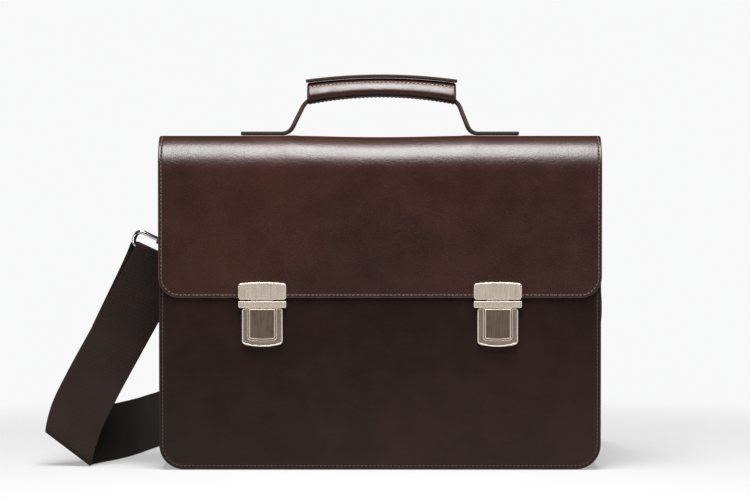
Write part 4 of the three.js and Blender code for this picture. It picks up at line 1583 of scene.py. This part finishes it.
@dataclass
class Studio:
    """Pale floor and background, one softbox overhead and one on each side, and the camera."""

    distance: float = 3.055
    eye: float = 0.300
    aside: float = -0.0045
    pitch: float = 1.947
    lens: float = 160.56
    floor: float = 1.3
    fade: tuple[float, float] = (0.33, 0.85)
    pale: float = 0.29
    glow: float = 0.37
    dim: float = 0.045
    card: float = 0.6
    background: Colour = (0.94, 0.941, 0.948, 1)
    lights: tuple[Softbox, ...] = (
        Softbox("overhead", (0, -0.86, 1.78), (0.9, 1.6), 96, (0, -0.86, 0)),
        Softbox("side_left", (-1.7, -2.0, 0.3), (0.5, 1.2), 10, (0, 0, 0.2)),
        Softbox("side_right", (1.7, -2.0, 0.3), (0.5, 1.2), 10, (0, 0, 0.2)),
    )

    def camera(self) -> None:
        """A long lens, a little above the middle of the case."""
        data = bpy.data.cameras.new("camera")
        data.lens, data.sensor_width = self.lens, 36.0
        data.clip_start, data.clip_end = 0.1, 50.0
        made = bpy.data.objects.new("camera", data)
        made.location = (self.aside, -self.distance, self.eye)
        made.rotation_euler = (math.radians(90 - self.pitch), 0, 0)
        bpy.context.collection.objects.link(made)
        bpy.context.scene.camera = made

    def world(self) -> None:
        """A white background to look at; the pieces see a dim room with a white card on each side."""
        world = bpy.data.worlds.new("studio")
        bpy.context.scene.world = world
        tree = Tree(world)
        way = tree.node("SeparateXYZ", None, {0: tree.node("TexCoord", output="Generated")}, "X")
        cards = way.maths("ABSOLUTE", way).within(0.72, 0.95)
        room = {"Color": (1, 1, 1, 1), "Strength": cards * self.card + self.dim}
        dim = tree.node("Background", None, room)
        white = tree.node("Background", None, {"Color": self.background, "Strength": 1.0})
        direct = tree.node("LightPath", output="Is Camera Ray")
        tree.end(tree.node("MixShader", None, {0: direct, 1: dim, 2: white}), "OutputWorld")

    def ground(self) -> None:
        """A pale floor, lit a little from below, that fades into the background."""
        rows, sides, below = 12, 64, 0.4 * MM
        turn = np.linspace(0, math.tau, sides, endpoint=False)
        rings = np.linspace(0.05, self.floor, rows)[:, None, None]
        points = rings * np.stack([np.cos(turn), np.sin(turn), 0 * turn], -1)[None] - [0, 0, below]
        mesh = bpy.data.meshes.new("floor")
        faces = grid_quads(rows, sides, wrap=True).tolist() + [list(range(sides))]
        mesh.from_pydata(points.reshape(-1, 3), [], faces)
        paint = bpy.data.materials.new("floor_white")
        tree = Tree(paint)
        away = tree.node("VectorMath", {"operation": "LENGTH"}, {0: tree.place()}, output="Value")
        low, high = ((tone, tone, tone, 1) for tone in (self.pale - 0.01, self.pale + 0.01))
        solid = tree.node("BsdfPrincipled", None, {
            "Base Color": tree.blend(tree.noise(3, 2), low, high), "Roughness": 0.6,
            "Emission Color": (1, 1, 1, 1), "Emission Strength": self.glow, "Specular IOR Level": 0.1,
        })
        faded = {0: away.within(*self.fade), 1: solid, 2: tree.node("BsdfTransparent")}
        tree.end(tree.node("MixShader", None, faded))
        mesh.materials.append(paint)
        made = bpy.data.objects.new("floor", mesh)
        bpy.context.collection.objects.link(made)

    def build(self) -> None:
        """Makes the whole studio."""
        bpy.context.scene.view_settings.view_transform = "Standard"
        self.camera()
        self.world()
        self.ground()
        for softbox in self.lights:
            softbox.light()


def main() -> None:
    """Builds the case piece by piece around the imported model."""
    logging.basicConfig(level=logging.INFO, format="%(name)s: %(message)s")
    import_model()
    Studio().build()
    case = Case()
    case.front_panel()
    case.back_and_flap()
    case.gusset()
    handle = Handle()
    handle.strap()
    handle.pad()
    handle.top_strip()
    for side in Side:
        Lock(side).build()
    left = Ring(Side.LEFT, off=31.2 * MM, lean=25, towards=180)
    right = Ring(Side.RIGHT, off=24.8 * MM, lean=30, towards=78)
    for ring in (left, right):
        ring.ring()
        ring.tab()
    ShoulderStrap(left, right).build()


if __name__ == "__main__":
    main()
